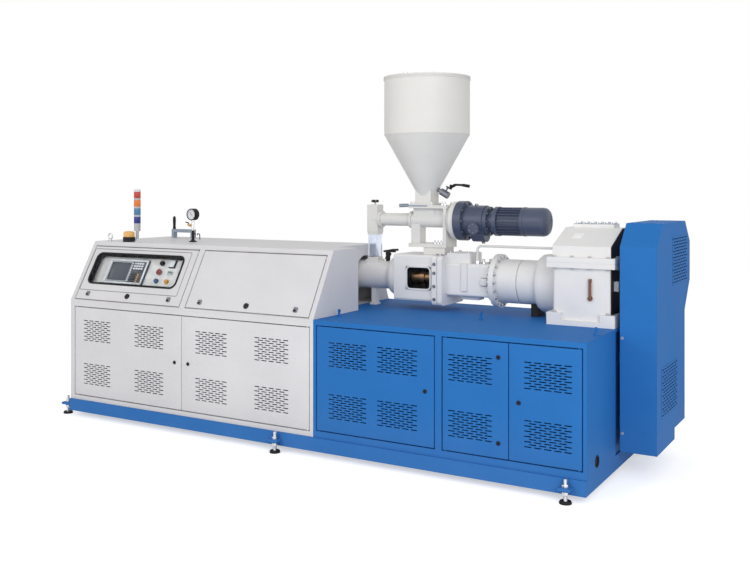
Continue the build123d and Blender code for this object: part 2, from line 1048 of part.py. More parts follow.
with BuildPart() as barrel_supports:
    for support_x in (x_left + support_near, port_x):
        slab(
            support_x - support_width / 2,
            support_x + support_width / 2,
            y_axis - support_depth / 2,
            y_axis + support_depth / 2,
            z_deck,
            z_axis - barrel_r + support_wrap,
        )
        slab(
            support_x - support_width / 2 - support_foot_lap,
            support_x + support_width / 2 + support_foot_lap,
            y_axis - support_depth / 2 - support_foot_lap,
            y_axis + support_depth / 2 + support_foot_lap,
            z_deck,
            z_deck + support_foot_thick,
        )
    rod((x_left, y_axis, z_axis), (1, 0, 0), barrel_r + running_fit, barrel_run, Mode.SUBTRACT)
save(barrel_supports, "barrel_supports")

heater_run = x_hood_end - heater_end - x_left - heater_start + heater_gap
heater_length = heater_run / heater_count - heater_gap
with BuildPart() as heater_bands:
    for band in range(heater_count):
        band_x = x_left + heater_start + band * (heater_length + heater_gap)
        rod((band_x, y_axis, z_axis), (1, 0, 0), heater_r, heater_length)
    rod((x_left, y_axis, z_axis), (1, 0, 0), barrel_r + running_fit, barrel_run, Mode.SUBTRACT)
save(heater_bands, "heater_bands")

valve_x = x_bell - barrel_valve_back
with BuildPart() as barrel_valve:
    rod((valve_x, y_axis, z_axis + barrel_r), (0, 0, 1), barrel_valve_r, barrel_valve_rise)
    slab(
        valve_x,
        valve_x + barrel_lever,
        y_axis - barrel_valve_r / 2,
        y_axis + barrel_valve_r / 2,
        z_axis + barrel_r + barrel_valve_rise,
        z_axis + barrel_r + barrel_valve_rise + barrel_valve_r,
    )
    rod((valve_x, y_axis, z_axis), (0, 0, 1), barrel_valve_r, barrel_r)
    rod((x_left, y_axis, z_axis), (1, 0, 0), barrel_r, barrel_run, Mode.SUBTRACT)
save(barrel_valve, "barrel_valve")

# Coupling housing

x_housing = x_bell + bell_length
x_joint = x_housing + housing_length
x_box = x_joint + joint_length
z_housing_top = z_axis + housing_high
sight_x0 = x_joint - sight_end - sight_width
sight_x = sight_x0 + sight_width / 2
sight_z = z_axis + sight_centre
y_housing = y_axis - housing_half

with BuildPart() as coupling_housing:
    slab(
        x_housing,
        x_joint,
        y_housing,
        y_axis + housing_half,
        z_axis - housing_low,
        z_housing_top,
    )
    fillet(coupling_housing.edges().filter_by(Axis.X), housing_edge)
    turned(
        [
            (x_bell, 0),
            *dome(x_bell, bell_small_r, x_housing, bell_large_r - running_fit),
            (x_housing, 0),
        ],
        y_axis,
        z_axis,
    )
    with BuildSketch(Plane.XZ.offset(-y_housing)):
        with Locations((sight_x, sight_z)):
            RectangleRounded(sight_width, sight_height, sight_corner)
    extrude(amount=-sight_depth, mode=Mode.SUBTRACT)
save(coupling_housing, "coupling_housing")

with BuildPart() as coupling_window:
    with BuildSketch(Plane.XZ.offset(-y_housing)):
        with Locations((sight_x, sight_z)):
            RectangleRounded(sight_width + sight_lap, sight_height + sight_lap, sight_corner)
    extrude(amount=sight_cover)
save(coupling_window, "coupling_window")

with BuildPart() as shaft_couplings:
    for side in (-1, 1):
        shaft_y = y_axis + side * coupling_spread
        rod((sight_x0, shaft_y, sight_z), (1, 0, 0), coupling_r, sight_width)
        rod(
            (sight_x - coupling_ring / 2, shaft_y, sight_z),
            (1, 0, 0),
            coupling_ring_r,
            coupling_ring,
        )
save(shaft_couplings, "shaft_couplings")

with BuildPart() as joint_flanges:
    with BuildSketch(Plane.YZ.offset(x_joint)):
        with Locations((y_axis, (2 * z_axis + housing_high - joint_low) / 2)):
            RectangleRounded(2 * joint_half, joint_low + housing_high, joint_corner)
    extrude(amount=joint_length)
    with BuildSketch(Plane.YZ.offset(x_joint + (joint_length - joint_groove) / 2)):
        with Locations((y_axis, (2 * z_axis + housing_high - joint_low) / 2)):
            RectangleRounded(2 * joint_half, joint_low + housing_high, joint_corner)
            RectangleRounded(
                2 * (joint_half - joint_groove),
                joint_low + housing_high - 2 * joint_groove,
                joint_corner - joint_groove,
                mode=Mode.SUBTRACT,
            )
    extrude(amount=joint_groove, mode=Mode.SUBTRACT)
save(joint_flanges, "joint_flanges")

x_box_end = x_box + box_length
with BuildPart() as distribution_box:
    slab(
        x_box,
        x_box_end,
        y_axis - box_half,
        y_axis + box_half,
        z_axis - box_low,
        z_axis + box_high,
    )
    fillet(distribution_box.edges().filter_by(Axis.X), box_edge)
    slab(
        x_box,
        x_box + box_block,
        y_axis - box_half + box_edge,
        y_axis + box_half - box_edge,
        z_axis,
        z_axis + box_block_high,
    )
    slab(
        x_box + box_rib_start,
        x_box + box_rib_start + box_rib_width,
        y_axis - box_half - box_rib_rise,
        y_axis,
        z_axis - box_rib_low,
        z_axis + box_high,
    )
    slab(
        x_box + box_drain_start,
        x_box + box_drain_start + box_drain_length,
        y_axis - box_drain_half,
        y_axis + box_drain_half,
        z_axis - box_low - box_drain_drop,
        z_axis,
    )
save(distribution_box, "distribution_box")

x_output = x_box_end + cylinder_flange + cylinder_length
x_gear = x_output + output_length
groove_x = x_output - groove_back
with BuildPart() as torque_cylinder:
    turned(
        [
            (x_box_end, 0),
            (x_box_end, cylinder_flange_r),
            (x_box_end + cylinder_flange, cylinder_flange_r),
            (x_box_end + cylinder_flange, cylinder_r),
            (groove_x - cylinder_groove / 2, cylinder_r),
            (groove_x - cylinder_groove / 2, cylinder_r - cylinder_groove),
            (groove_x + cylinder_groove / 2, cylinder_r - cylinder_groove),
            (groove_x + cylinder_groove / 2, cylinder_r),
            (x_output, cylinder_r),
            *dome(x_output, output_small_r, x_output + output_bell, output_r),
            (x_gear, output_r),
            (x_gear, 0),
        ],
        y_axis,
        z_axis,
    )
save(torque_cylinder, "torque_cylinder")

saddle_x = x_output - saddle_width
with BuildPart() as output_saddle:
    slab(
        saddle_x,
        saddle_x + saddle_width,
        y_axis - saddle_half,
        y_axis + saddle_half,
        z_deck,
        z_axis - cylinder_r / 2,
    )
    rod((saddle_x, y_axis, z_axis), (1, 0, 0), cylinder_r + running_fit, saddle_width, Mode.SUBTRACT)
save(output_saddle, "output_saddle")

# Gearbox

x_gear_end = x_gear + gear_flange_length
z_split = z_axis + gear_boss_r + gear_boss_gap
with BuildPart() as gearbox_casing:
    slab(
        x_gear + gear_wall_inset,
        x_gear_end - gear_wall_inset,
        y_axis - gear_half,
        y_axis + gear_half,
        z_deck,
        z_split,
    )
    fillet(gearbox_casing.edges().filter_by(Axis.Z), gear_edge)
    for flange_z0, flange_z1 in ((z_deck, z_deck + gear_foot), (z_split - gear_flange_thick, z_split)):
        slab(
            x_gear,
            x_gear_end,
            y_axis - gear_flange_half,
            y_axis + gear_flange_half,
            flange_z0,
            flange_z1,
        )
    for block_x in (x_gear, x_gear_end - gear_foot_block_length):
        slab(
            block_x,
            block_x + gear_foot_block_length,
            y_axis - gear_flange_half,
            y_axis + gear_flange_half,
            z_deck,
            z_deck + gear_foot_block,
        )
    slab(
        x_gear_end - gear_wall_inset,
        x_gear_end,
        y_axis - gear_lug_front,
        y_axis - gear_lug_front + gear_lug_width,
        z_split - gear_lug_drop,
        z_split - gear_lug_drop + gear_lug_height,
    )
    rod((x_gear, y_axis, z_axis), (1, 0, 0), gear_boss_r, gear_wall_inset)
save(gearbox_casing, "gearbox_casing")

z_cover_side = z_split + gear_flange_thick + gear_cover_side
z_cover_top = z_cover_side + gear_cover_rise
with BuildPart() as gearbox_cover:
    slab(
        x_gear,
        x_gear_end,
        y_axis - gear_flange_half,
        y_axis + gear_flange_half,
        z_split,
        z_split + gear_flange_thick,
    )
    prism(
        [
            (y_axis - gear_half, z_split),
            (y_axis - gear_half, z_cover_side),
            (y_axis - gear_cover_top_half, z_cover_top),
            (y_axis + gear_cover_top_half, z_cover_top),
            (y_axis + gear_half, z_cover_side),
            (y_axis + gear_half, z_split),
        ],
        x_gear + gear_wall_inset,
        x_gear_end - gear_wall_inset,
    )
    slab(
        x_gear + gear_wall_inset + gear_plate_margin,
        x_gear_end - gear_wall_inset - gear_plate_margin,
        y_axis - gear_cover_top_half,
        y_axis + gear_cover_top_half,
        z_cover_top,
        z_cover_top + gear_plate_thick,
    )
save(gearbox_cover, "gearbox_cover")

sight_tube_x = x_gear + gauge_x + gear_wall_inset
sight_tube_y = y_axis - gear_half - gauge_stand
sight_low = z_deck + gauge_low
with BuildPart() as sight_gauge:
    rod((sight_tube_x, sight_tube_y, sight_low), (0, 0, 1), gauge_tube_r, gauge_length)
    for stub_z in (sight_low, sight_low + gauge_length - 2 * gauge_tube_r):
        slab(
            sight_tube_x - gauge_tube_r,
            sight_tube_x + gauge_tube_r,
            sight_tube_y,
            y_axis - gear_half,
            stub_z,
            stub_z + 2 * gauge_tube_r,
        )
    rod(
        (sight_tube_x, y_axis - gear_half, sight_low),
        (0, -1, 0),
        gauge_bulb_r,
        gauge_stand,
    )
save(sight_gauge, "sight_gauge")

# Belt guard

x_guard = x_right + guard_gap
y_guard = y_axis - guard_front
y_guard_rear = y_back + guard_overhang
z_guard = foot_height + guard_bottom
z_guard_top = z_deck + guard_top
with BuildPart() as belt_guard:
    prism(
        [
            (y_guard, z_guard),
            (y_guard, z_guard_top - guard_shoulder),
            (y_guard + guard_front_bevel, z_guard_top),
            (y_guard_rear - guard_rear_bevel, z_guard_top),
            (y_guard_rear, z_guard_top - guard_shoulder),
            (y_guard_rear, z_deck + guard_waist_high),
            (y_axis + guard_leg_rear, z_deck + guard_waist_low),
            (y_axis + guard_leg_rear, z_guard + guard_toe_rise),
            (y_axis + guard_toe_rear, z_guard + guard_toe_rise),
            (y_axis + guard_toe_rear, z_guard),
        ],
        x_guard,
        x_guard + guard_width,
    )
    for guard_y in (y_axis - guard_bracket_spread / 2, y_axis + guard_bracket_spread / 2):
        for guard_z in (z_plinth + guard_bracket_low, z_rail - guard_bracket_high):
            slab(
                x_right - bed_recess,
                x_guard,
                guard_y - guard_bracket / 2,
                guard_y + guard_bracket / 2,
                guard_z - guard_bracket / 2,
                guard_z + guard_bracket / 2,
            )
    for vent_y, vent_z in (
        (y_axis + guard_vent_back, z_guard_top - guard_vent_drop),
        (y_axis - guard_vent_front, z_guard + guard_vent_rise),
    ):
        vents(
            Plane(origin=(x_guard + guard_width, vent_y, vent_z), x_dir=(0, 1, 0), z_dir=(1, 0, 0)),
            guard_vent_columns,
            guard_vent_rows,
            guard_vent_depth,
        )
save(belt_guard, "belt_guard")

# Feeder

x_feeder = x_housing + feeder_start
x_feeder_end = x_feeder + feeder_length
x_trough_end = x_feeder_end - feeder_plate
z_feeder = z_housing_top + feeder_base
z_feeder_axis = z_feeder + feeder_axis
z_feeder_top = z_feeder_axis + feeder_top
z_hopper_seat = z_feeder_top + gate_slot
hopper_centre = x_feeder + hopper_x

with BuildPart() as feeder_frame:
    slab(
        x_feeder + pedestal_start,
        x_feeder + pedestal_start + pedestal_length,
        y_axis - pedestal_half,
        y_axis + pedestal_half,
        z_housing_top,
        z_feeder,
    )
    slab(
        x_feeder,
        x_feeder_end,
        y_axis - feeder_half,
        y_axis + feeder_half,
        z_feeder,
        z_feeder + feeder_plate,
    )
    slab(
        x_feeder,
        x_feeder_end,
        y_axis - feeder_half,
        y_axis + feeder_half,
        z_feeder_top - feeder_top_plate,
        z_feeder_top,
    )
    slab(
        x_trough_end,
        x_feeder_end,
        y_axis - feeder_half,
        y_axis + feeder_half,
        z_feeder,
        z_feeder_top,
    )
    slab(
        x_feeder,
        x_feeder + feeder_post,
        y_axis - feeder_post_half,
        y_axis + feeder_post_half,
        z_feeder,
        z_feeder_axis,
    )
    for side in (-1, 1):
        rail_y = y_axis + side * (feeder_half - gate_rail / 2)
        slab(
            x_feeder,
            x_feeder_end,
            rail_y - gate_rail / 2,
            rail_y + gate_rail / 2,
            z_feeder_top,
            z_hopper_seat,
        )
    rod((x_feeder, y_axis, z_feeder_axis), (1, 0, 0), trough_r + running_fit, feeder_post, Mode.SUBTRACT)
save(feeder_frame, "feeder_frame")

chute_top = z_feeder_top - feeder_top_plate
with BuildPart() as feeder_trough:
    slab(
        x_feeder + chute_start,
        x_trough_end,
        y_axis - chute_half,
        y_axis + chute_half,
        z_feeder_axis,
        chute_top,
    )
    rod((x_feeder, y_axis, z_feeder_axis), (1, 0, 0), trough_r, x_trough_end - x_feeder)
    slab(
        x_trough_end - chute_window_end - chute_window,
        x_trough_end - chute_window_end,
        y_axis - chute_half,
        y_axis - chute_half + chute_window_depth,
        chute_top - chute_window_drop - chute_window_high,
        chute_top - chute_window_drop,
        Mode.SUBTRACT,
    )
save(feeder_trough, "feeder_trough")

spout_centre = port_x
spout_half = spout_size / 2
z_spout = z_feeder_axis - spout_low
z_spout_top = z_feeder_axis + spout_high
with BuildPart() as feed_tube:
    rod(
        (spout_centre, y_axis, z_feeder_axis),
        (1, 0, 0),
        tube_r,
        x_feeder - spout_centre,
    )
    slab(
        spout_centre - spout_half,
        spout_centre + spout_half,
        y_axis - spout_half,
        y_axis + spout_half,
        z_spout,
        z_spout_top,
    )
    rod(
        (spout_centre, y_axis, z_spout_top),
        (0, 0, 1),
        spout_knob_r / 3,
        spout_knob_rise,
    )
    rod(
        (spout_centre, y_axis, z_spout_top + spout_knob_rise / 2),
        (0, 0, 1),
        spout_knob_r,
        spout_knob_rise / 2,
    )
save(feed_tube, "feed_tube")

with BuildPart() as downspout_tube:
    slab(
        spout_centre - spout_half + spout_wall,
        spout_centre + spout_half - spout_wall,
        y_axis - spout_half + spout_wall,
        y_axis + spout_half - spout_wall,
        z_port,
        z_spout,
    )
    slab(
        spout_centre - spout_half + 2 * spout_wall,
        spout_centre + spout_half - 2 * spout_wall,
        y_axis - spout_half + 2 * spout_wall,
        y_axis + spout_half - 2 * spout_wall,
        z_port,
        z_spout,
        Mode.SUBTRACT,
    )
save(downspout_tube, "downspout_tube")

gate_z = z_feeder_top + running_fit
with BuildPart() as slide_gate:
    slab(
        x_feeder - gate_out,
        x_feeder + gate_in,
        y_axis - gate_half,
        y_axis + gate_half,
        gate_z,
        gate_z + gate_thick,
    )
    slab(
        x_feeder - gate_out - gate_lip,
        x_feeder - gate_out,
        y_axis - gate_half,
        y_axis + gate_half,
        gate_z + gate_thick / 2 - gate_lip_rise / 2,
        gate_z + gate_thick / 2 + gate_lip_rise / 2,
    )
save(slide_gate, "slide_gate")

x_adapter = x_feeder_end + adapter_length
x_reducer = x_adapter + reducer_flange
x_ring = x_reducer + reducer_length
x_motor = x_ring + 2 * reducer_ring + reducer_neck
x_cowl = x_motor + motor_length

with BuildPart() as feeder_reducer:
    turned(
        [
            (x_feeder_end, 0),
            (x_feeder_end, adapter_r - adapter_length / 2),
            (x_adapter - adapter_length / 2, adapter_r),
            (x_adapter, adapter_r),
            (x_adapter, reducer_flange_r),
            (x_reducer, reducer_flange_r),
            (x_reducer, reducer_r),
            (x_ring, reducer_r),
            (x_ring, reducer_ring_r),
            (x_ring + reducer_ring, reducer_ring_r),
            (x_ring + reducer_ring, reducer_neck_r),
            (x_motor - reducer_ring, reducer_neck_r),
            (x_motor - reducer_ring, reducer_ring_r),
            (x_motor, reducer_ring_r),
            (x_motor, 0),
        ],
        y_axis,
        z_feeder_axis,
    )
    rod(
        (x_reducer + reducer_length / 3, y_axis, z_feeder_axis - reducer_foot_drop),
        (1, 0, 0),
        reducer_foot_r,
        reducer_length * 2 / 3,
    )
    rod(
        (x_ring - reducer_length / 3, y_axis, z_feeder_axis - reducer_boss_drop),
        (0, -1, 0),
        reducer_boss_r,
        reducer_r + reducer_boss_rise,
    )
save(feeder_reducer, "feeder_reducer")

with BuildPart() as feeder_motor:
    rod((x_motor, y_axis, z_feeder_axis), (1, 0, 0), motor_r, motor_length)
    with BuildSketch(Plane(origin=(x_motor, y_axis, z_feeder_axis), z_dir=(1, 0, 0))):
        with PolarLocations((motor_r + motor_fin_r - motor_fin_root) / 2, motor_fin_count):
            Rectangle(motor_fin_r - motor_r + motor_fin_root, motor_fin)
    extrude(amount=motor_length)
save(feeder_motor, "feeder_motor")

x_cowl_end = x_cowl + cowl_length
with BuildPart() as motor_cowl:
    turned(
        [
            (x_cowl_end, 0),
            *dome(x_cowl_end, cowl_r - cowl_round, x_cowl_end - cowl_round, cowl_r),
            (x_cowl, cowl_r),
            (x_cowl, 0),
        ],
        y_axis,
        z_feeder_axis,
    )
save(motor_cowl, "motor_cowl")

# Hopper

z_cone = z_hopper_seat + hopper_neck_high
z_shoulder = z_cone + hopper_cone
z_hopper_top = z_shoulder + hopper_cylinder
cone_run = hopper_r - hopper_cone_r
cone_length = math.hypot(cone_run, hopper_cone)
hopper_axis = Axis((hopper_centre, y_axis, 0), (0, 0, 1))


def bin_body(radius, cone_r, neck, mode=Mode.ADD):
    """A square neck that runs up into a round cone, with a cylinder on top."""
    with BuildSketch(Plane(origin=(hopper_centre, y_axis, 0), x_dir=(1, 0, 0), z_dir=(0, -1, 0))) as profile:
        with BuildLine():
            Polyline(
                (0, z_cone),
                (cone_r, z_cone),
                (radius, z_shoulder),
                (radius, z_hopper_top),
                (0, z_hopper_top),
                close=True,
            )
        make_face()
    revolve(profile.sketch, axis=hopper_axis, mode=mode)
    slab(
        hopper_centre - neck / 2,
        hopper_centre + neck / 2,
        y_axis - neck / 2,
        y_axis + neck / 2,
        z_hopper_seat,
        z_shoulder,
        mode,
    )


inner_cone = hopper_wall * cone_length / hopper_cone
with BuildPart() as hopper:
    bin_body(hopper_r, hopper_cone_r, hopper_neck)
    slab(
        hopper_centre - hopper_flange / 2,
        hopper_centre + hopper_flange / 2,
        y_axis - hopper_flange / 2,
        y_axis + hopper_flange / 2,
        z_hopper_seat,
        z_hopper_seat + hopper_flange_thick,
    )
    bin_body(
        hopper_r - hopper_wall,
        hopper_cone_r - inner_cone,
        hopper_neck - 2 * hopper_wall,
        Mode.SUBTRACT,
    )
save(hopper, "hopper")

with BuildPart() as hopper_lid:
    rod((hopper_centre, y_axis, z_hopper_top), (0, 0, 1), hopper_r + lid_lip, lid_thick)
    slab(
        hopper_centre - lid_handle_length / 2,
        hopper_centre + lid_handle_length / 2,
        y_axis - lid_handle_r,
        y_axis + lid_handle_r,
        z_hopper_top + lid_thick,
        z_hopper_top + lid_thick + lid_handle_rise,
    )
    slab(
        hopper_centre - lid_handle_length / 2 + 2 * lid_handle_r,
        hopper_centre + lid_handle_length / 2 - 2 * lid_handle_r,
        y_axis - lid_handle_r,
        y_axis + lid_handle_r,
        z_hopper_top + lid_thick,
        z_hopper_top + lid_thick + lid_handle_rise - 2 * lid_handle_r,
        Mode.SUBTRACT,
    )
save(hopper_lid, "hopper_lid")

# Sampling valve on the hopper's cone

cone_x = hopper_cone / cone_length
cone_z = -cone_run / cone_length
valve_z = z_cone + valve_height
valve_start_x = hopper_centre + hopper_cone_r + cone_run * valve_height / hopper_cone


def valve_point(along, across=0.0):
    """A point on the valve: along its bore from the cone, and across it towards the lever."""
    return (
        valve_start_x + cone_x * along - cone_z * across,
        y_axis,
        valve_z + cone_z * along + cone_x * across,
    )


bore_way = (cone_x, 0, cone_z)
stem_way = (-cone_z, 0, cone_x)
valve_mid = valve_nipple + valve_body / 2
stem_top = valve_body_r + valve_stem
with BuildPart() as hopper_valve:
    rod(valve_point(0), bore_way, valve_nipple_r, valve_nipple)
    rod(valve_point(valve_nipple), bore_way, valve_body_r, valve_body)
    rod(valve_point(valve_mid), stem_way, valve_stem_r, stem_top + lever_thick + running_fit)
save(hopper_valve, "hopper_valve")

lever_plane = Plane(
    origin=valve_point(valve_mid, stem_top), x_dir=bore_way, z_dir=stem_way
)
crank_x, crank_y, crank_z = valve_point(valve_mid + lever_arm, stem_top)
with BuildPart() as valve_lever:
    with BuildSketch(lever_plane):
        Circle(lever_hub_r)
        with Locations((lever_arm / 2, 0)):
            Rectangle(lever_arm, lever_width)
        Circle(valve_stem_r + pin_fit, mode=Mode.SUBTRACT)
    extrude(amount=lever_thick)
    slab(
        crank_x - lever_thick,
        crank_x,
        crank_y - lever_width / 2,
        crank_y + lever_width / 2,
        crank_z + lever_thick / 2,
        crank_z + lever_step,
    )
    slab(
        crank_x - lever_thick,
        crank_x + lever_length,
        crank_y - lever_width / 2,
        crank_y + lever_width / 2,
        crank_z + lever_step - lever_thick,
        crank_z + lever_step,
    )
save(valve_lever, "valve_lever")

# Oil pipe from the distribution box to the gearbox

pipe_x = x_box + box_block + pipe_start
pipe_y = y_axis - pipe_front
pipe_z = z_split + gear_flange_thick + pipe_rise
with BuildPart() as oil_pipe:
    with BuildLine():
        FilletPolyline(
            (pipe_x, pipe_y, z_axis + box_high),
            (pipe_x, pipe_y, pipe_z),
            (x_gear + gear_wall_inset, pipe_y, pipe_z),
            radius=pipe_bend,
        )
    with BuildSketch(Plane(origin=(pipe_x, pipe_y, z_axis + box_high), z_dir=(0, 0, 1))):
        Circle(pipe_r)
    sweep()
save(oil_pipe, "oil_pipe")

# Roof fittings

y_roof = y_slope(z_roof)
tower_centre = (x_left + tower_x, y_roof + tower_back)
z_tower = z_roof + tower_post
z_lens = z_tower + tower_body
with BuildPart() as signal_tower:
    rod((*tower_centre, z_roof), (0, 0, 1), tower_post_r, tower_post)
    rod((*tower_centre, z_tower), (0, 0, 1), tower_r, tower_body)
    rod((*tower_centre, z_lens), (0, 0, 1), lens_core_r, lens_count * lens_pitch)
    for level in range(1, lens_count):
        ring_z = z_lens + level * lens_pitch - (lens_pitch - lens_height)
        rod((*tower_centre, ring_z), (0, 0, 1), tower_r, lens_pitch - lens_height)
    top_z = z_lens + lens_count * lens_pitch - (lens_pitch - lens_height)
    rod((*tower_centre, top_z), (0, 0, 1), tower_r, tower_cap)
save(signal_tower, "signal_tower")

with BuildPart() as signal_lenses:
    for level in range(lens_count):
        rod((*tower_centre, z_lens + level * lens_pitch), (0, 0, 1), tower_r, lens_height)
    rod(
        (*tower_centre, z_lens),
        (0, 0, 1),
        lens_core_r + running_fit,
        lens_count * lens_pitch,
        Mode.SUBTRACT,
    )
save(signal_lenses, "signal_lenses")

beacon_reach = beacon_r + tower_post_r + beacon_gap
beacon_centre = (
    tower_centre[0] - beacon_reach * math.cos(math.radians(beacon_turn)),
    tower_centre[1] - beacon_reach * math.sin(math.radians(beacon_turn)),
)
with BuildPart() as warning_beacon:
    rod((*beacon_centre, z_roof), (0, 0, 1), beacon_r, beacon_base)
    rod((*beacon_centre, z_roof + beacon_base), (0, 0, 1), beacon_dome_r, beacon_dome)
save(warning_beacon, "warning_beacon")

gauge_centre = (x_left + gauge_post_x, y_roof + gauge_post_back)
with BuildPart() as pressure_gauge:
    rod((*gauge_centre, z_roof), (0, 0, 1), gauge_post_r, gauge_post_height)
    rod(
        (gauge_centre[0], gauge_centre[1] + dial_thick / 2, z_roof + gauge_post_height + dial_r / 2),
        (0, -1, 0),
        dial_r,
        dial_thick,
    )
save(pressure_gauge, "pressure_gauge")

bracket_x0 = x_left + bracket_x
bracket_y0 = y_rear_slope(z_roof) - bracket_from_rear - bracket_width / 2
with BuildPart() as vent_bracket:
    slab(
        bracket_x0,
        bracket_x0 + bracket_length,
        bracket_y0,
        bracket_y0 + bracket_width,
        z_roof,
        z_roof + bracket_height,
    )
    slab(
        bracket_x0 + bracket_leg,
        bracket_x0 + bracket_length - bracket_leg,
        bracket_y0,
        bracket_y0 + bracket_width,
        z_roof,
        z_roof + bracket_height - bracket_bar,
        Mode.SUBTRACT,
    )
    rod(
        (bracket_x0 + bracket_leg / 2, bracket_y0 + bracket_width / 2, z_roof + bracket_height),
        (0, 0, 1),
        bracket_handle_r,
        bracket_handle - bracket_height,
    )
save(vent_bracket, "vent_bracket")
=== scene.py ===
"""Twin-screw extruder: finishes, vented doors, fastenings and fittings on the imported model."""
import collections
import math

import bmesh
import bpy
import numpy as np
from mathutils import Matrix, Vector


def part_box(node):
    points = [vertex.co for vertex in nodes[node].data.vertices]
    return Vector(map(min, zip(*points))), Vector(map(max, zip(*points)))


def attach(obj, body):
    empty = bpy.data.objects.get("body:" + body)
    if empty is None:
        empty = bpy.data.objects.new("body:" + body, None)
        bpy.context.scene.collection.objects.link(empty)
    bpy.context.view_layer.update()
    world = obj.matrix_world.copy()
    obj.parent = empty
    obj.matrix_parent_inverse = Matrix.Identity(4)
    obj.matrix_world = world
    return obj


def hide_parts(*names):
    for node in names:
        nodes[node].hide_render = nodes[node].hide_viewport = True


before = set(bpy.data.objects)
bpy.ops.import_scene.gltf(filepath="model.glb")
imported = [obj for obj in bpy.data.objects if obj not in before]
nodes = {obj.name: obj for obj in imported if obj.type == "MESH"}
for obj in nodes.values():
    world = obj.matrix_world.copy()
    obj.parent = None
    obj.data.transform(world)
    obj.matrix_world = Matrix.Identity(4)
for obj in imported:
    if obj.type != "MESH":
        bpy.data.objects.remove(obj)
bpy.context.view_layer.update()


# Shader nodes

COLOUR, NUMBER = "NodeSocketColor", "NodeSocketFloat"
WHITE = (1.0, 1.0, 1.0, 1.0)
FLOOR_DUST, DUST_LOW, DUST_HIGH = (0.36, 0.34, 0.31, 1.0), 0.05, 0.42
NOISE_LOW, NOISE_HIGH = 0.3, 0.7


def add(tree, kind, settings=None, **sockets):
    """One shader node; each socket gets a value, or a link where an output is given."""
    node = tree.nodes.new(kind)
    for key, value in (settings or {}).items():
        setattr(node, key, value)
    for key, value in sockets.items():
        numbered = key.startswith("in") and key[2:].isdigit()
        socket = node.inputs[int(key[2:])] if numbered else node.inputs[key.replace("_", " ")]
        if isinstance(value, bpy.types.NodeSocket):
            tree.links.new(value, socket)
        else:
            socket.default_value = value
    return node


def made(tree, kind, output, settings=None, **sockets):
    """One output of a new shader node."""
    return add(tree, kind, settings, **sockets).outputs[output]


def maths(tree, operation, *terms):
    """The result of a math node on its terms."""
    sockets = {f"in{place}": term for place, term in enumerate(terms)}
    return made(tree, "ShaderNodeMath", "Value", {"operation": operation}, **sockets)


def mapped(tree, value, start, end, low, high):
    """A value between start and end, carried over to low and high."""
    return made(tree, "ShaderNodeMapRange", "Result", Value=value, in1=start, in2=end, in3=low, in4=high)


def shaded(tree, colour, noise, low, high):
    """A colour, times a noise that is spread over low to high."""
    factor = mapped(tree, noise, NOISE_LOW, NOISE_HIGH, low, high)
    return made(tree, "ShaderNodeVectorMath", "Vector", {"operation": "SCALE"}, in0=colour, Scale=factor)


def noise_of(tree, spot, scale, detail, **sockets):
    """A noise texture's value."""
    return made(tree, "ShaderNodeTexNoise", "Fac", Vector=spot, Scale=scale, Detail=detail, **sockets)


def effect_group(name, extra, build):
    """A node group from colour, gloss and extra numbers to colour, gloss and height."""
    tree = bpy.data.node_groups.new(name, "ShaderNodeTree")
    inputs = [("Color", COLOUR, WHITE), ("Roughness", NUMBER, 0.5)]
    inputs += [(label, NUMBER, start) for label, start in extra.items()]
    for label, kind, start in inputs:
        socket = tree.interface.new_socket(label, in_out="INPUT", socket_type=kind)
        socket.default_value = start
    outputs = {"Color": COLOUR, "Roughness": NUMBER, "Height": NUMBER}
    for label, kind in outputs.items():
        tree.interface.new_socket(label, in_out="OUTPUT", socket_type=kind)
    given = tree.nodes.new("NodeGroupInput").outputs
    taken = tree.nodes.new("NodeGroupOutput").inputs
    spot = made(tree, "ShaderNodeTexCoord", "Object")
    for label, result in zip(outputs, build(tree, given, spot)):
        tree.links.new(result, taken[label])
    return tree


def paint_film(tree, given, spot):
    """Sprayed paint: slow clouds in tone, orange-peel height, and a little floor dust low down."""
    clouds = noise_of(tree, spot, 2.4, 4.0, Roughness=0.6)
    peel = noise_of(tree, spot, given["Peel"], 2.0)
    tone = shaded(tree, given["Color"], clouds, 0.95, 1.03)
    height = made(tree, "ShaderNodeSeparateXYZ", "Z", in0=spot)
    low = mapped(tree, height, DUST_LOW, DUST_HIGH, 1.0, 0.0)
    amount = maths(tree, "MULTIPLY", maths(tree, "MULTIPLY", low, clouds), given["Dust"])
    dusty = made(tree, "ShaderNodeMix", 2, {"data_type": "RGBA"}, in0=amount, in6=tone, in7=FLOOR_DUST)
    return dusty, maths(tree, "MULTIPLY_ADD", clouds, 0.16, given["Roughness"]), peel


def grain(tree, given, spot):
    """Grained plastic or cast skin: fine pits in the height and a faint mottle in tone."""
    pits = made(tree, "ShaderNodeTexVoronoi", "Distance", Vector=spot, Scale=given["Scale"])
    mottle = noise_of(tree, spot, 14.0, 5.0)
    tone = shaded(tree, given["Color"], mottle, 0.9, 1.08)
    return tone, maths(tree, "MULTIPLY_ADD", mottle, 0.22, given["Roughness"]), pits


def machining(tree, given, spot):
    """Machined metal: fine streaks along one direction, in tone, gloss and height."""
    across = {f"in{place}": given[f"Across {axis}"] for place, axis in enumerate("XYZ")}
    pull = made(tree, "ShaderNodeCombineXYZ", "Vector", **across)
    drawn = made(tree, "ShaderNodeVectorMath", "Vector", {"operation": "MULTIPLY"}, in0=spot, in1=pull)
    streak = noise_of(tree, drawn, 1.0, 3.0)
    tone = shaded(tree, given["Color"], streak, 0.82, 1.08)
    return tone, maths(tree, "MULTIPLY_ADD", streak, 0.2, given["Roughness"]), streak


paint_film_group = effect_group("paint_film", {"Peel": 320.0, "Dust": 0.2}, paint_film)
grain_group = effect_group("grain", {"Scale": 500.0}, grain)
machining_group = effect_group(
    "machining", {"Across X": 40.0, "Across Y": 700.0, "Across Z": 700.0}, machining
)


# Materials

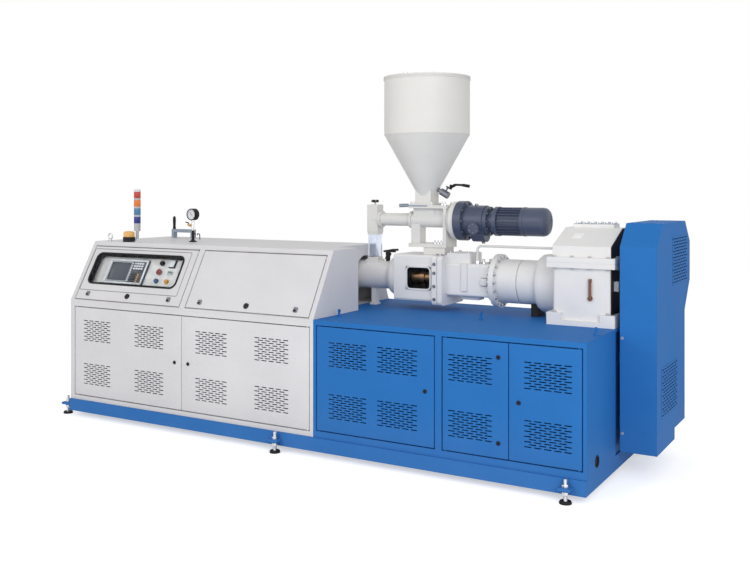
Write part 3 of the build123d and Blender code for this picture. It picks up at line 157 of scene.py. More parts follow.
SATIN, MATT, DULL, USUAL = 0.22, 0.07, 0.20, 0.5
EDGE_SAMPLES = 6


def empty_tree(block):
    """The emptied node tree of a material or world."""
    block.use_nodes = True
    block.node_tree.nodes.clear()
    return block.node_tree


def finish(name, slot, effect, colour, bump, depth, shader, edge=0.0, **values):
    """A material: one effect group feeds colour, gloss and bump of a Principled shader; edges may be soft."""
    material = bpy.data.materials.new(name)
    tree = empty_tree(material)
    skin = add(tree, "ShaderNodeGroup", {"node_tree": effect}, Color=(*colour, 1.0), **values).outputs
    relief = add(tree, "ShaderNodeBump", Height=skin["Height"], Strength=bump, Distance=depth)
    if edge:
        soft = made(tree, "ShaderNodeBevel", "Normal", {"samples": EDGE_SAMPLES}, Radius=edge)
        tree.links.new(soft, relief.inputs["Normal"])
    surface = made(
        tree, "ShaderNodeBsdfPrincipled", "BSDF",
        Base_Color=skin["Color"], Roughness=skin["Roughness"], Normal=relief.outputs["Normal"], **shader,
    )
    add(tree, "ShaderNodeOutputMaterial", Surface=surface)
    return material


def enamel(name, slot, colour, bump, depth, gloss, peel, dust=0.0, specular=USUAL, edge=0.0):
    """A sprayed paint."""
    shader = {"Specular_IOR_Level": specular}
    look = {"Roughness": gloss, "Peel": peel, "Dust": dust}
    return finish(name, slot, paint_film_group, colour, bump, depth, shader, edge, **look)


def moulded(name, slot, colour, bump, depth, gloss, scale=700.0, **shader):
    """A grained plastic, rubber, glass or cast metal."""
    return finish(name, slot, grain_group, colour, bump, depth, shader, Roughness=gloss, Scale=scale)


def metal(name, slot, colour, bump, depth, gloss, **streaks):
    """A machined metal."""
    shader = {"Metallic": 1.0}
    return finish(name, slot, machining_group, colour, bump, depth, shader, Roughness=gloss, **streaks)


def clear_pane(name, tint, smear):
    """Clear sheet: transmission with a faint smear in its gloss."""
    material = bpy.data.materials.new(name)
    tree = empty_tree(material)
    values = {"Color": (*tint, 1.0), "Roughness": smear, "Scale": 90.0}
    skin = add(tree, "ShaderNodeGroup", {"node_tree": grain_group}, **values).outputs
    surface = made(
        tree, "ShaderNodeBsdfPrincipled", "BSDF",
        Base_Color=skin["Color"], Roughness=skin["Roughness"], Transmission_Weight=1.0, IOR=1.12,
    )
    add(tree, "ShaderNodeOutputMaterial", Surface=surface)
    return material


white_enamel = enamel("white_enamel", "white_paint", (0.70, 0.69, 0.705), 0.12, 0.0006,
                      0.36, 330.0, 0.20, SATIN, 0.0025)
blue_enamel = enamel("blue_enamel", "blue_paint", (0.026, 0.165, 0.480), 0.10, 0.0006,
                     0.50, 280.0, 0.10, MATT, 0.003)
white_casting = enamel("white_casting", "white_paint", (0.80, 0.79, 0.785), 0.30, 0.0012,
                       0.36, 130.0, 0.0, SATIN, 0.004)
bin_enamel = enamel("bin_enamel", "white_paint", (0.74, 0.73, 0.705), 0.10, 0.0006,
                    0.36, 300.0, 0.0, SATIN, 0.002)
plate_enamel = enamel("plate_enamel", "bright_steel", (0.90, 0.90, 0.91), 0.05, 0.0003,
                      0.30, 400.0, 0.0, SATIN)
motor_enamel = enamel("motor_enamel", "grey_paint", (0.062, 0.078, 0.128), 0.28, 0.0010,
                      0.28, 160.0, 0.0, 0.4, 0.002)
bracket_enamel = enamel("bracket_enamel", "grey_paint", (0.30, 0.35, 0.43), 0.20, 0.0008,
                        0.36, 200.0, 0.0, USUAL, 0.002)
black_enamel = enamel("black_enamel", "black_metal", (0.016, 0.016, 0.018), 0.15, 0.0006,
                      0.38, 240.0, 0.15, DULL, 0.001)
# vent_shade: near-black, matt and glossless, painted shadow seen through the guard vents
vent_shade = moulded("vent_shade", "black_plastic", (0.006, 0.006, 0.008), 0.30, 0.0005,
                     0.85, 600.0, Specular_IOR_Level=0.0)
black_rubber = moulded("black_rubber", "black_plastic", (0.012, 0.012, 0.014), 0.30, 0.0005,
                       0.52, 600.0, Specular_IOR_Level=DULL)
black_moulding = moulded("black_moulding", "black_plastic", (0.014, 0.014, 0.016), 0.25, 0.0004,
                         0.42, Specular_IOR_Level=DULL)
grey_moulding = moulded("grey_moulding", "grey_plastic", (0.46, 0.47, 0.48), 0.25, 0.0004, 0.40)
seal_moulding = moulded("seal_moulding", "grey_plastic", (0.24, 0.24, 0.25), 0.25, 0.0004, 0.5)
# console_skin: light grey, lifted to make up for the shade behind the window pane, so partly painted light
console_skin = moulded("console_skin", "grey_plastic", (0.72, 0.70, 0.69), 0.35, 0.0006, 0.46, 420.0)
dark_moulding = moulded("dark_moulding", "black_plastic", (0.060, 0.066, 0.084), 0.25, 0.0004, 0.40)
white_moulding = moulded("white_moulding", "grey_plastic", (0.74, 0.75, 0.78), 0.20, 0.0004, 0.34)
screen_glass = moulded("screen_glass", "clear_glass", (0.030, 0.038, 0.062), 0.05, 0.0002,
                       0.10, 900.0, Coat_Weight=0.6)
red_button = moulded("red_button", "lens_plastic", (0.21, 0.030, 0.02), 0.12, 0.0003, 0.30)
blue_button = moulded("blue_button", "lens_plastic", (0.035, 0.11, 0.24), 0.12, 0.0003, 0.30)
amber_button = moulded("amber_button", "amber_plastic", (0.62, 0.30, 0.04), 0.12, 0.0003, 0.30)
green_button = moulded("green_button", "grey_plastic", (0.10, 0.20, 0.16), 0.12, 0.0003, 0.32)
TURNED = {"Across_X": 700.0, "Across_Y": 60.0, "Across_Z": 60.0}
zinc_plate = metal("zinc_plate", "zinc_steel", (0.62, 0.63, 0.65), 0.12, 0.0003, 0.26)
bright_steel = metal("bright_steel", "bright_steel", (0.76, 0.76, 0.77), 0.10, 0.0002, 0.14)
dark_steel = metal("dark_steel", "zinc_steel", (0.20, 0.21, 0.24), 0.15, 0.0003, 0.34)
copper_steel = metal("copper_steel", "bright_steel", (0.30, 0.17, 0.09), 0.12, 0.0003, 0.30, **TURNED)
turned_brass = metal("turned_brass", "brass", (0.62, 0.40, 0.14), 0.12, 0.0003, 0.24, **TURNED)
gauge_glass = moulded("gauge_glass", "clear_glass", (0.16, 0.055, 0.022), 0.05, 0.0002,
                      0.18, 400.0, Coat_Weight=0.4)
cast_aluminium = moulded("cast_aluminium", "zinc_steel", (0.58, 0.59, 0.61), 0.40, 0.0008,
                         0.36, 260.0, Metallic=0.9)
lens_tints = {
    "blue": (0.006, 0.012, 0.21), "teal": (0.045, 0.20, 0.36),
    "orange": (0.74, 0.18, 0.010), "red": (0.50, 0.034, 0.016),
}
lens_finishes = {
    name: moulded(f"lens_{name}", "lens_plastic", tint, 0.15, 0.0005, 0.20, 220.0, Coat_Weight=0.15)
    for name, tint in lens_tints.items()
}
amber_dome = moulded("amber_dome", "amber_plastic", (0.80, 0.45, 0.13), 0.20, 0.0006,
                     0.22, 160.0, Coat_Weight=0.4)
window_pane = clear_pane("window_pane", (0.95, 0.97, 0.98), 0.01)
spout_pane = clear_pane("spout_pane", (0.84, 0.88, 0.95), 0.12)

finishes = {
    white_enamel: (
        "left_end_wall", "white_front_frame", "white_deck", "cabinet_partition", "hood_front_frame",
        "hood_roof", "hood_rear_panel", "hood_right_wall", "left_cover", "right_cover",
    ),
    bin_enamel: ("hopper", "hopper_lid", "feeder_frame", "feeder_trough", "feed_tube", "oil_pipe"),
    blue_enamel: (
        "plinth", "levelling_feet", "machine_bed", "blue_front_frame", "blue_end_wall", "blue_deck",
        "belt_guard",
    ),
    white_casting: (
        "barrel", "barrel_supports", "coupling_housing", "joint_flanges", "distribution_box",
        "torque_cylinder", "gearbox_casing", "gearbox_cover",
    ),
    motor_enamel: ("feeder_reducer", "feeder_motor", "motor_cowl"),
    bracket_enamel: ("slide_gate", "vent_bracket"),
    black_enamel: ("barrel_valve", "valve_lever", "output_saddle"),
    black_moulding: ("pressure_gauge",),
    grey_moulding: ("signal_tower",),
    console_skin: ("control_console",),
    dark_moulding: ("operator_terminal",),
    dark_steel: ("hopper_valve",),
    copper_steel: ("shaft_couplings",),
    gauge_glass: ("sight_gauge",),
    cast_aluminium: ("heater_bands",),
    window_pane: ("cover_window", "coupling_window"),
    spout_pane: ("downspout_tube",),
}


def dress(node, material):
    """Gives a CAD node its finish in every material slot."""
    mesh = nodes[node].data
    if not mesh.materials:
        mesh.materials.append(material)
    for place in range(len(mesh.materials)):
        mesh.materials[place] = material


for material, names in finishes.items():
    for node in names:
        dress(node, material)


# Surfaces

MERGE, FLAT_FACE, SHARP = 2e-6, 1e-7, 32.0


def grid_faces(rows, columns, ring=False):
    """Quads over a grid of points; a ring also joins its last column to its first."""
    index = np.arange(rows * columns).reshape(rows, columns)
    if ring:
        index = np.concatenate([index, index[:, :1]], axis=1)
    quads = [index[:-1, :-1], index[:-1, 1:], index[1:, 1:], index[1:, :-1]]
    return np.stack(quads, axis=-1).reshape(-1, 4)


def joined(*parts):
    """Several surfaces as one: their points in a row, and their faces counted on from each other."""
    starts = np.cumsum([0] + [len(points) for points, _ in parts[:-1]])
    return (
        np.concatenate([points for points, _ in parts]),
        np.concatenate([faces + start for (_, faces), start in zip(parts, starts)]),
    )


def repeated(copies, faces):
    """Copies of one surface, whose points are given copy by copy, as one surface."""
    shift = np.arange(len(copies))[:, None, None] * copies.shape[1]
    return copies.reshape(-1, 3), (faces[None] + shift).reshape(-1, faces.shape[1])


def piece(name, surface, material, body="machine", stands_for=(), sharp=SHARP, slot=None):
    """A finished piece: doubles joined, faces outwards, smooth up to an angle, and riding on a body."""
    points, faces = surface
    mesh = bpy.data.meshes.new(name)
    mesh.from_pydata(points.tolist(), [], faces.tolist())
    work = bmesh.new()
    work.from_mesh(mesh)
    bmesh.ops.remove_doubles(work, verts=work.verts, dist=MERGE)
    bmesh.ops.dissolve_degenerate(work, edges=work.edges, dist=FLAT_FACE)
    bmesh.ops.recalc_face_normals(work, faces=work.faces)
    work.to_mesh(mesh)
    work.free()
    mesh.polygons.foreach_set("use_smooth", np.ones(len(mesh.polygons), bool))
    mesh.set_sharp_from_angle(angle=math.radians(sharp))
    mesh.materials.append(material)
    thing = bpy.data.objects.new(name, mesh)
    bpy.context.scene.collection.objects.link(thing)
    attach(thing, body)
    if stands_for:
        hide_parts(*stands_for)


FRONT, BACK, LEFT, RIGHT = (0, -1, 0), (0, 1, 0), (-1, 0, 0), (1, 0, 0)
UP, DOWN = (0, 0, 1), (0, 0, -1)
BOTH = (-1, 1)
ORIGIN = (0, 0, 0)


def plane_at(origin, across, up):
    """A flat place to build on: origin, across, up, and the direction out of it."""
    across, up = np.array(across, float), np.array(up, float)
    return np.array(origin, float), across, up, np.cross(across, up)


def on_plane(plane, spots):
    """Points (across, up, out) of a plane as points of the machine."""
    origin, across, up, out = plane
    return origin + spots[..., 0:1] * across + spots[..., 1:2] * up + spots[..., 2:3] * out


def facing_front(y):
    """The plane across the machine at a depth, seen from the front."""
    return plane_at((0, y, 0), RIGHT, UP)


def facing_right(x):
    """The plane along the depth at a place along the machine, seen from the right."""
    return plane_at((x, 0, 0), BACK, UP)


def facing_up(z):
    """The level plane at a height, seen from above."""
    return plane_at((0, 0, z), RIGHT, BACK)


def facing_back(y):
    """The plane across the machine at a depth, seen from behind."""
    return plane_at((0, y, 0), LEFT, UP)


def carried_round(rows, angle, factor):
    """Rows of (height, radius) carried round Z: x = r cos a, y = r sin a, with r times a factor."""
    radius = rows[:, 1:] * factor
    points = np.stack([radius * np.cos(angle), radius * np.sin(angle), rows[:, :1] + 0 * radius], axis=-1)
    return points.reshape(-1, 3), grid_faces(len(rows), len(angle), ring=True)


def fluted(profile, radius, lobes, depth, sides):
    """Rows of (height, share) turned with lobes: the share times radius + depth cos(lobes a)."""
    angle = np.arange(sides) * 2 * np.pi / sides
    return carried_round(np.array(profile, float), angle, radius + depth * np.cos(lobes * angle))


def turned(profile, sides=24, hexed=()):
    """Rows of (height, radius) turned; hexed rows get six flats."""
    angle = np.arange(sides) * 2 * np.pi / sides
    flats = np.cos(np.pi / 6) / np.cos(angle % (np.pi / 3) - np.pi / 6)
    six = np.isin(np.arange(len(profile)), hexed)[:, None]
    return carried_round(np.array(profile, float), angle, np.where(six, flats, 1.0))


def placed(shape, places, ways):
    """Copies of a shape: each turned until its Z axis lies along a way, then moved to its place."""
    points, faces = shape
    places = np.atleast_2d(np.array(places, float))
    up = np.broadcast_to(np.array(ways, float), places.shape)
    up = up / np.linalg.norm(up, axis=1, keepdims=True)
    helper = np.where(np.abs(up[:, 2:]) > 0.9, [[1.0, 0, 0]], [[0, 0, 1.0]])
    side = np.cross(helper, up)
    side = side / np.linalg.norm(side, axis=1, keepdims=True)
    turn = np.stack([side, np.cross(up, side), up], axis=1)
    return repeated(np.einsum("pi,nij->npj", points, turn) + places[:, None], faces)


def circle_places(centre, radius, count, way, start=0.0):
    """Places evenly round a circle that a way runs through."""
    angle = np.radians(start) + np.arange(count) * 2 * np.pi / count
    way = np.array(way, float)
    first = np.array(UP, float) if abs(way[2]) < 0.9 else np.array(RIGHT, float)
    second = np.cross(way, first)
    return np.array(centre) + radius * (np.cos(angle)[:, None] * first + np.sin(angle)[:, None] * second)


def tube(path, radius, sides=12):
    """A round bar along a path of constant depth: circles across the path, drawn to a point at both ends."""
    path = np.array(path, float)
    along = np.gradient(path, axis=0)
    along = along / np.linalg.norm(along, axis=1, keepdims=True)
    normal = np.array(BACK, float)
    aside = np.cross(along, normal)
    angle = (np.arange(sides) * 2 * np.pi / sides)[None, :, None]
    radius = np.broadcast_to(np.array(radius, float), len(path))[:, None, None]
    rings = path[:, None] + radius * (np.cos(angle) * normal + np.sin(angle) * aside[:, None])
    first = np.repeat(path[:1, None], sides, axis=1)
    last = np.repeat(path[-1:, None], sides, axis=1)
    points = np.concatenate([first, rings, last])
    return points.reshape(-1, 3), grid_faces(len(path) + 2, sides, ring=True)


def bent(corners, radius, steps=7):
    """A path through corners, each rounded by a quadratic curve that starts and ends a radius away."""
    corners = np.array(corners, float)
    mid = corners[1:-1]
    back = corners[:-2] - mid
    on = corners[2:] - mid
    start = mid + radius * back / np.linalg.norm(back, axis=1, keepdims=True)
    end = mid + radius * on / np.linalg.norm(on, axis=1, keepdims=True)
    t = np.linspace(0, 1, steps)[None, :, None]
    curve = (1 - t) ** 2 * start[:, None] + 2 * t * (1 - t) * mid[:, None] + t ** 2 * end[:, None]
    return np.concatenate([corners[:1], curve.reshape(-1, 3), corners[-1:]])


def rounded_outline(width, height, corner, steps=6):
    """Points and outward normals round a rectangle with round corners."""
    turn = (np.linspace(0, np.pi / 2, steps)[None] + np.arange(4)[:, None] * np.pi / 2).reshape(-1)
    corners = np.array([(1, 1), (-1, 1), (-1, -1), (1, -1)], float)
    centre = corners * (width / 2 - corner, height / 2 - corner)
    normal = np.stack([np.cos(turn), np.sin(turn)], axis=-1)
    return np.repeat(centre, steps, axis=0) + corner * normal, normal


def lifted(plane, flat, lift):
    """Closed rows of points, each row raised by its own lift off a plane and joined to the next."""
    raised = np.broadcast_to(np.array(lift, float)[:, None, None], flat.shape[:2] + (1,))
    points = on_plane(plane, np.concatenate([flat, raised], axis=-1))
    return points.reshape(-1, 3), grid_faces(*flat.shape[:2], ring=True)


def band(size, profile, plane, centre):
    """A profile of (outward, raised) steps carried round a rounded rectangle on a plane."""
    outline, normal = rounded_outline(*size)
    profile = np.array(profile, float)
    return lifted(plane, outline + profile[:, None, :1] * normal + np.array(centre, float), profile[:, 1])


def pad(size, profile, plane, centre, steps=4):
    """A raised plate: a rounded outline stepped in and up by a profile, closed in its middle."""
    outline, normal = rounded_outline(*size, steps)
    profile = np.array(profile, float)
    flat = outline + profile[:, None, :1] * normal
    flat = np.concatenate([0 * flat[:1], flat, 0 * flat[:1]]) + np.array(centre, float)
    return lifted(plane, flat, [profile[0, 1], *profile[:, 1], profile[-1, 1]])


def soft_plate(rise, round_by):
    """The edge profile of a plate: straight up, then a quarter round over the top."""
    turn = np.linspace(0, np.pi / 2, 4)
    return [(0.0, 0.0)] + [(-round_by * (1 - np.cos(a)), rise - round_by * (1 - np.sin(a))) for a in turn]


def thin_plate(outline, plane, low, high):
    """A flat plate: an outline at two heights above a plane, closed in its middle."""
    middle = outline.mean(axis=0) + 0 * outline
    return lifted(plane, np.stack([middle, outline, outline, middle]), [low, low, high, high])


PITCH_ACROSS, PITCH_UP, SLOT_HALF, SLOT_R = 0.057, 0.01435, 0.0215, 0.0032
RING_TURN = np.radians([0, 45, 90, 90, 90, 135, 180, 225, 270, 270, 270, 315])
RING_X = np.array([2, 2, 1, 0, -1, -2, -2, -2, -1, 0, 1, 2])
RING_Z = np.array([0, 1, 1, 1, 1, 1, 0, -1, -1, -1, -1, -1])


def vented_sheet(xs, zs, field_xs, field_zs, columns, rows, plane, thick, skin, rim, edge, pitch=PITCH_UP):
    """A pressed sheet with vents: a grid of lines, whose vent fields are rings from a slot to its cell.

    The slot is a stadium of twelve points, the cell a rectangle of twelve; each quad of the grid outside
    the fields stays whole. Loops round the edge give a quarter-round fold, the rim and its pocket behind.
    """
    (left, right), (low, high) = xs, zs
    field_xs, field_zs = np.array(field_xs, float), np.array(field_zs, float)
    inner_x = field_xs[:, None] + (np.arange(4 * columns + 1) - 2 * columns) * PITCH_ACROSS / 4
    inner_z = field_zs[:, None] + (np.arange(2 * rows + 1) - rows) * pitch / 2
    x_lines = np.concatenate([[left + edge], np.sort(inner_x.reshape(-1)), [right - edge]])
    z_lines = np.concatenate([[low + edge], np.sort(inner_z.reshape(-1)), [high - edge]])
    nx, nz = len(x_lines), len(z_lines)
    from_x = ((x_lines[:-1] + x_lines[1:]) / 2)[:, None] - field_xs[None]
    from_z = ((z_lines[:-1] + z_lines[1:]) / 2)[:, None] - field_zs[None]
    in_x = np.abs(from_x) < columns * PITCH_ACROSS / 2
    in_z = np.abs(from_z) < rows * pitch / 2
    end_x = (np.abs(from_x) > (columns - 1) * PITCH_ACROSS / 2) & in_x
    short = (np.floor(from_z / pitch + rows / 2).astype(int) % 2 == 1) & in_z
    whole = ~(in_x.any(1)[:, None] & in_z.any(1)[None]) | (end_x.any(1)[:, None] & short.any(1)[None])

    def grid(inset, out):
        """The whole quads of the grid at a height, its outer lines set in from the sheet's edge."""
        across, up = x_lines.copy(), z_lines.copy()
        across[[0, -1]] = left + inset, right - inset
        up[[0, -1]] = low + inset, high - inset
        points = np.stack(np.broadcast_arrays(across[:, None], up[None], out), axis=-1)
        return on_plane(plane, points).reshape(-1, 3), grid_faces(nx, nz)[whole.reshape(-1)]

    row, column = np.arange(rows)[:, None], np.arange(columns)[None]
    cell_x = (column - (columns - 1 - row % 2) / 2) * PITCH_ACROSS
    cell_z = np.broadcast_to((row - (rows - 1) / 2) * pitch, cell_x.shape)
    kept = column < columns - row % 2
    cells = np.stack([cell_x[kept], cell_z[kept]], axis=-1)
    fields = np.stack(np.meshgrid(field_xs, field_zs, indexing="ij"), axis=-1).reshape(-1, 1, 2)
    cells = (cells[None] + fields).reshape(-1, 1, 2)
    slot_x = np.sign(RING_X) * (SLOT_HALF - SLOT_R) + SLOT_R * np.cos(RING_TURN)
    slot = np.stack([slot_x, SLOT_R * np.sin(RING_TURN)], axis=-1)
    cell = np.stack([RING_X * PITCH_ACROSS / 4, RING_Z * pitch / 2], axis=-1)
    flat = np.stack([cell + cells, slot + cells, slot + cells, cell + cells], axis=1)
    out = np.broadcast_to(np.array([0, 0, -skin, -skin])[None, :, None, None], flat.shape[:3] + (1,))
    rings = on_plane(plane, np.concatenate([flat, out], axis=-1))

    along_x, along_z = np.arange(nx - 1), np.arange(nz - 1)
    i = np.concatenate([along_x, np.full(nz - 1, nx - 1), nx - 1 - along_x, 0 * along_z])
    j = np.concatenate([0 * along_x, along_z, np.full(nx - 1, nz - 1), nz - 1 - along_z])
    fold = np.linspace(0, np.pi / 2, 4)
    loops = [(edge * (1 - math.sin(a)), edge * (1 - math.cos(a))) for a in fold] + [(0.0, thick)]
    if rim:
        loops += [(rim, thick), (rim, skin)]
    inset, behind = np.array(loops)[:, :1], np.array(loops)[:, 1:]
    hem_x = np.where(i == 0, left + inset, np.where(i == nx - 1, right - inset, x_lines[i]))
    hem_z = np.where(j == 0, low + inset, np.where(j == nz - 1, high - inset, z_lines[j]))
    hems = on_plane(plane, np.stack([hem_x, hem_z, -behind + 0 * hem_x], axis=-1))

    return joined(
        grid(edge, 0.0),
        grid(rim, -skin),
        repeated(rings.reshape(len(rings), -1, 3), grid_faces(4, len(RING_X), ring=True)),
        (hems.reshape(-1, 3), grid_faces(len(loops), len(i), ring=True)),
    )


def bolt_head(radius, height):
    """A hexagon head on a washer: twelve sides, with flats on the head's rows."""
    washer, washer_r, shoulder = height * 0.18, radius * 1.25, height * 0.85
    rows = [(0, 0), (0, washer_r), (washer, washer_r), (washer, radius), (shoulder, radius),
            (height, radius * 0.86), (height, 0)]
    return turned(rows, 12, hexed=(3, 4))


def cap_screw(radius, height):
    """A socket head: a round head with a hexagon hole in it."""
    hole, socket = radius * 0.55, height * 0.5
    rows = [(0, 0), (0, radius), (height * 0.9, radius), (height, radius * 0.9), (height, hole),
            (socket, hole), (socket, 0)]
    return turned(rows, 12, hexed=(4, 5))


def pan_screw(radius):
    """A low round head: a quarter ellipse turned round."""
    turn = np.radians([0, 30, 60, 90])
    return turned([(0, 0)] + [(radius * 0.5 * math.sin(a), radius * math.cos(a)) for a in turn], 10)


def spun(name, profile, places, way, material, sides=24, hexed=(), **how):
    """A piece of one turned shape, at one or more places."""
    piece(name, placed(turned(profile, sides, hexed), places, way), material, **how)


def pair(middle, half):
    """Two values, as far below a middle as above it."""
    return middle - half, middle + half


def crossed(xs, ys, z):
    """Places on a level at every pair of x and y."""
    return [(x, y, z) for x in xs for y in ys]


Box = collections.namedtuple("Box", "left front low right back high x y z")


def extent(node):
    """A node's box by its sides, with its middle as x, y and z."""
    low, high = (np.array(corner, float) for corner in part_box(node))
    return Box(*low, *high, *(low + high) / 2)


barrel, roof = extent("barrel"), extent("hood_roof")
Y_AXIS, Z_AXIS, Z_ROOF = barrel.y, barrel.z, roof.high


# Doors with pressed vents

Y_CAB = extent("white_front_frame").front
door_face = facing_front(Y_CAB)
DOOR_COLUMNS, DOOR_ROWS = 5, 11
LAP, PIN_OUT, PIN_IN, PIN_BACK = 0.0015, 0.018, 0.014, 0.009
FIELD_UP, FIELD_DOWN, LOCK_IN, LOCK_END = 0.157, 0.165, 0.056, 0.082
LEAF = {"thick": 0.022, "skin": 0.006, "rim": 0.024, "edge": 0.003}
lock_rows = [(0, 0), (0, 0.0125), (0.003, 0.0125), (0.005, 0.0105), (0.0065, 0.0100), (0.0065, 0.0060),
             (0.003, 0.0055), (0.003, 0)]
pin = turned([(0, 0), (0, 0.005), (0.016, 0.005), (0.018, 0.004), (0.018, 0)], 16)
# Each door's paint, its vent fields in from the left edge or, below zero, from the right, and its hinge side
doors = {
    "white_left_door": (white_enamel, (0.222, -0.296), "left"),
    "white_right_door": (white_enamel, (0.256, -0.292), "right"),
    "blue_left_door": (blue_enamel, (0.222, -0.243), "left"),
    "blue_middle_door": (blue_enamel, (0.170,), "left"),
    "blue_right_door": (blue_enamel, (0.223,), "right"),
}
for door, (paint, fields_in, hinge) in doors.items():
    leaf = extent(door)
    low, high = leaf.low + PIN_OUT, leaf.high - PIN_OUT
    field_xs = [(leaf.left if inset > 0 else leaf.right) + inset for inset in fields_in]
    field_zs = (low + FIELD_UP, high - FIELD_DOWN)
    sheet = vented_sheet((leaf.left - LAP, leaf.right + LAP), (low - LAP, high + LAP), field_xs, field_zs,
                         DOOR_COLUMNS, DOOR_ROWS, door_face, **LEAF)
    pin_x, lock_x = leaf.left + PIN_IN, leaf.right - LOCK_IN
    if hinge == "right":
        pin_x, lock_x = leaf.right - PIN_IN, leaf.left + LOCK_IN
    pins = placed(pin, [(pin_x, Y_CAB + PIN_BACK, z) for z in (high, low)], [UP, DOWN])
    piece(f"{door}_leaf", joined(sheet, pins), paint, door, (door,))
    lock_zs = (low + LOCK_END, high - LOCK_END) if door == "blue_middle_door" else (leaf.z,)
    spots = [(lock_x, Y_CAB, z) for z in lock_zs]
    spun(f"{door}_lock", lock_rows, spots, FRONT, black_moulding, hexed=(5, 6), body=door)

# Belt guard vents, with a near-black sheet behind each field as painted shadow inside the guard

guard = extent("belt_guard")
GUARD_PITCH, GUARD_COLUMNS, GUARD_ROWS, GUARD_MARGIN = 0.0188, 7, 15, 0.008
SHEET_OUT, SHADOW_SHEET_IN = 0.0012, 0.004
SHEET = {"thick": 0.0008, "skin": 0.0008, "rim": 0.0, "edge": 0.0003}
half = GUARD_COLUMNS * PITCH_ACROSS / 2 + GUARD_MARGIN
tall = GUARD_ROWS * GUARD_PITCH / 2 + GUARD_MARGIN
shadow_sheet = (2 * half - SHADOW_SHEET_IN, 2 * tall - SHADOW_SHEET_IN, 0.002)
guard_fields = {
    "upper": (guard.back - 0.285, guard.high - 0.234),
    "lower": (guard.front + 0.312, guard.low + 0.336),
}
for name, (y, z) in guard_fields.items():
    vents = vented_sheet(pair(y, half), pair(z, tall), (y,), (z,), GUARD_COLUMNS, GUARD_ROWS,
                         facing_right(guard.right + SHEET_OUT), pitch=GUARD_PITCH, **SHEET)
    piece(f"guard_{name}_vents", vents, blue_enamel)
    # A matt near-black sheet just inside each vent field: painted shadow behind the slots
    shade = pad(shadow_sheet, [(0, 0), (0, 0.0003)], facing_right(guard.right), (y, z))
    piece(f"guard_{name}_backing", shade, vent_shade)

# Sloped covers: gasket, shroud, latches and locks

Z_DECK, RUN = extent("white_deck").high, 0.237
RISE = Z_ROOF - Z_DECK
SINE, COSINE = RISE / math.hypot(RISE, RUN), RUN / math.hypot(RISE, RUN)
slope = plane_at((0, Y_CAB, Z_DECK), RIGHT, (0, COSINE, SINE))
PANE_LAP, PANE_DEPTH, PANE_BACK, WINDOW_CORNER = 0.015, 0.006, 0.011, 0.040


def up_slope(z, depth):
    """How far up the slope a height lies, at a depth below the slope's face."""
    return (z - Z_DECK + COSINE * depth) / SINE


def sunk(depth):
    """The slope's plane, moved inwards by a depth."""
    return plane_at(on_plane(slope, np.array([0, 0, -depth])), slope[1], slope[2])


pane = extent("cover_window")
pane_w = (up_slope(pane.low, PANE_BACK), up_slope(pane.high, PANE_DEPTH))
WINDOW = (pane.right - pane.left - 2 * PANE_LAP, pane_w[1] - pane_w[0] - 2 * PANE_LAP, WINDOW_CORNER)
WINDOW_AT = (pane.x, sum(pane_w) / 2)
gasket = [(-0.003, -0.006), (-0.003, 0.003), (0.0, 0.006), (0.007, 0.006), (0.011, 0.003), (0.012, 0.0),
          (-0.003, -0.006)]
shroud = [(-0.0045, -0.0115), (-0.0015, -0.0115), (-0.0015, -0.040), (-0.0045, -0.040), (-0.0045, -0.0115)]
bead = [(0.0, 0.0), (0.0010, 0.0012), (0.0045, 0.0012), (0.0055, 0.0), (0.0, 0.0)]
BEAD, BEAD_UP = (0.945, 0.328, 0.008), 0.253
PULL, PULL_LEFT, PULL_DOWN = (0.085, 0.014, 0.004), 0.012, 0.025
pull_at = (pane.x - PULL_LEFT, WINDOW_AT[1] - WINDOW[1] / 2 - PULL_DOWN)
piece("window_gasket", band(WINDOW, gasket, slope, WINDOW_AT), black_rubber, "left_cover")
piece("window_shroud", band(WINDOW, shroud, slope, WINDOW_AT), black_rubber, "left_cover")
piece("panel_bead", band(BEAD, bead, slope, (pane.x, BEAD_UP)), seal_moulding, "left_cover")
piece("window_pull", pad(PULL, soft_plate(0.004, 0.002), slope, pull_at), white_moulding, "left_cover")

LATCH_W, LATCH_END, TONGUE_DOWN = 0.056, 0.128, 0.008
LATCH, TONGUE = (0.029, 0.034, 0.006), (0.020, 0.013, 0.004)
tongue = [(0, 0.009), (0, 0.013), (-0.001, 0.014)]
disc = [(0, 0), (0, 0.0195), (0.006, 0.0195), (0.0095, 0.016), (0.0095, 0.011), (0.0085, 0.010), (0.0085, 0)]
for cover in ("left_cover", "right_cover"):
    leaf = extent(cover)
    ends = (leaf.left + LATCH_END, leaf.right - LATCH_END)
    plates = [pad(LATCH, soft_plate(0.0095, 0.004), slope, (x, LATCH_W)) for x in ends]
    piece(f"{cover}_latches", joined(*plates), dark_steel, cover)
    tongues = [pad(TONGUE, tongue, slope, (x, LATCH_W - TONGUE_DOWN)) for x in ends]
    piece(f"{cover}_tongues", joined(*tongues), black_moulding, cover)
    where = on_plane(slope, np.array([[leaf.x, LATCH_W, 0.0]]))
    spun(f"{cover}_lock", disc, where, slope[3], black_moulding, 28, body=cover)

# Operator terminal and buttons behind the window

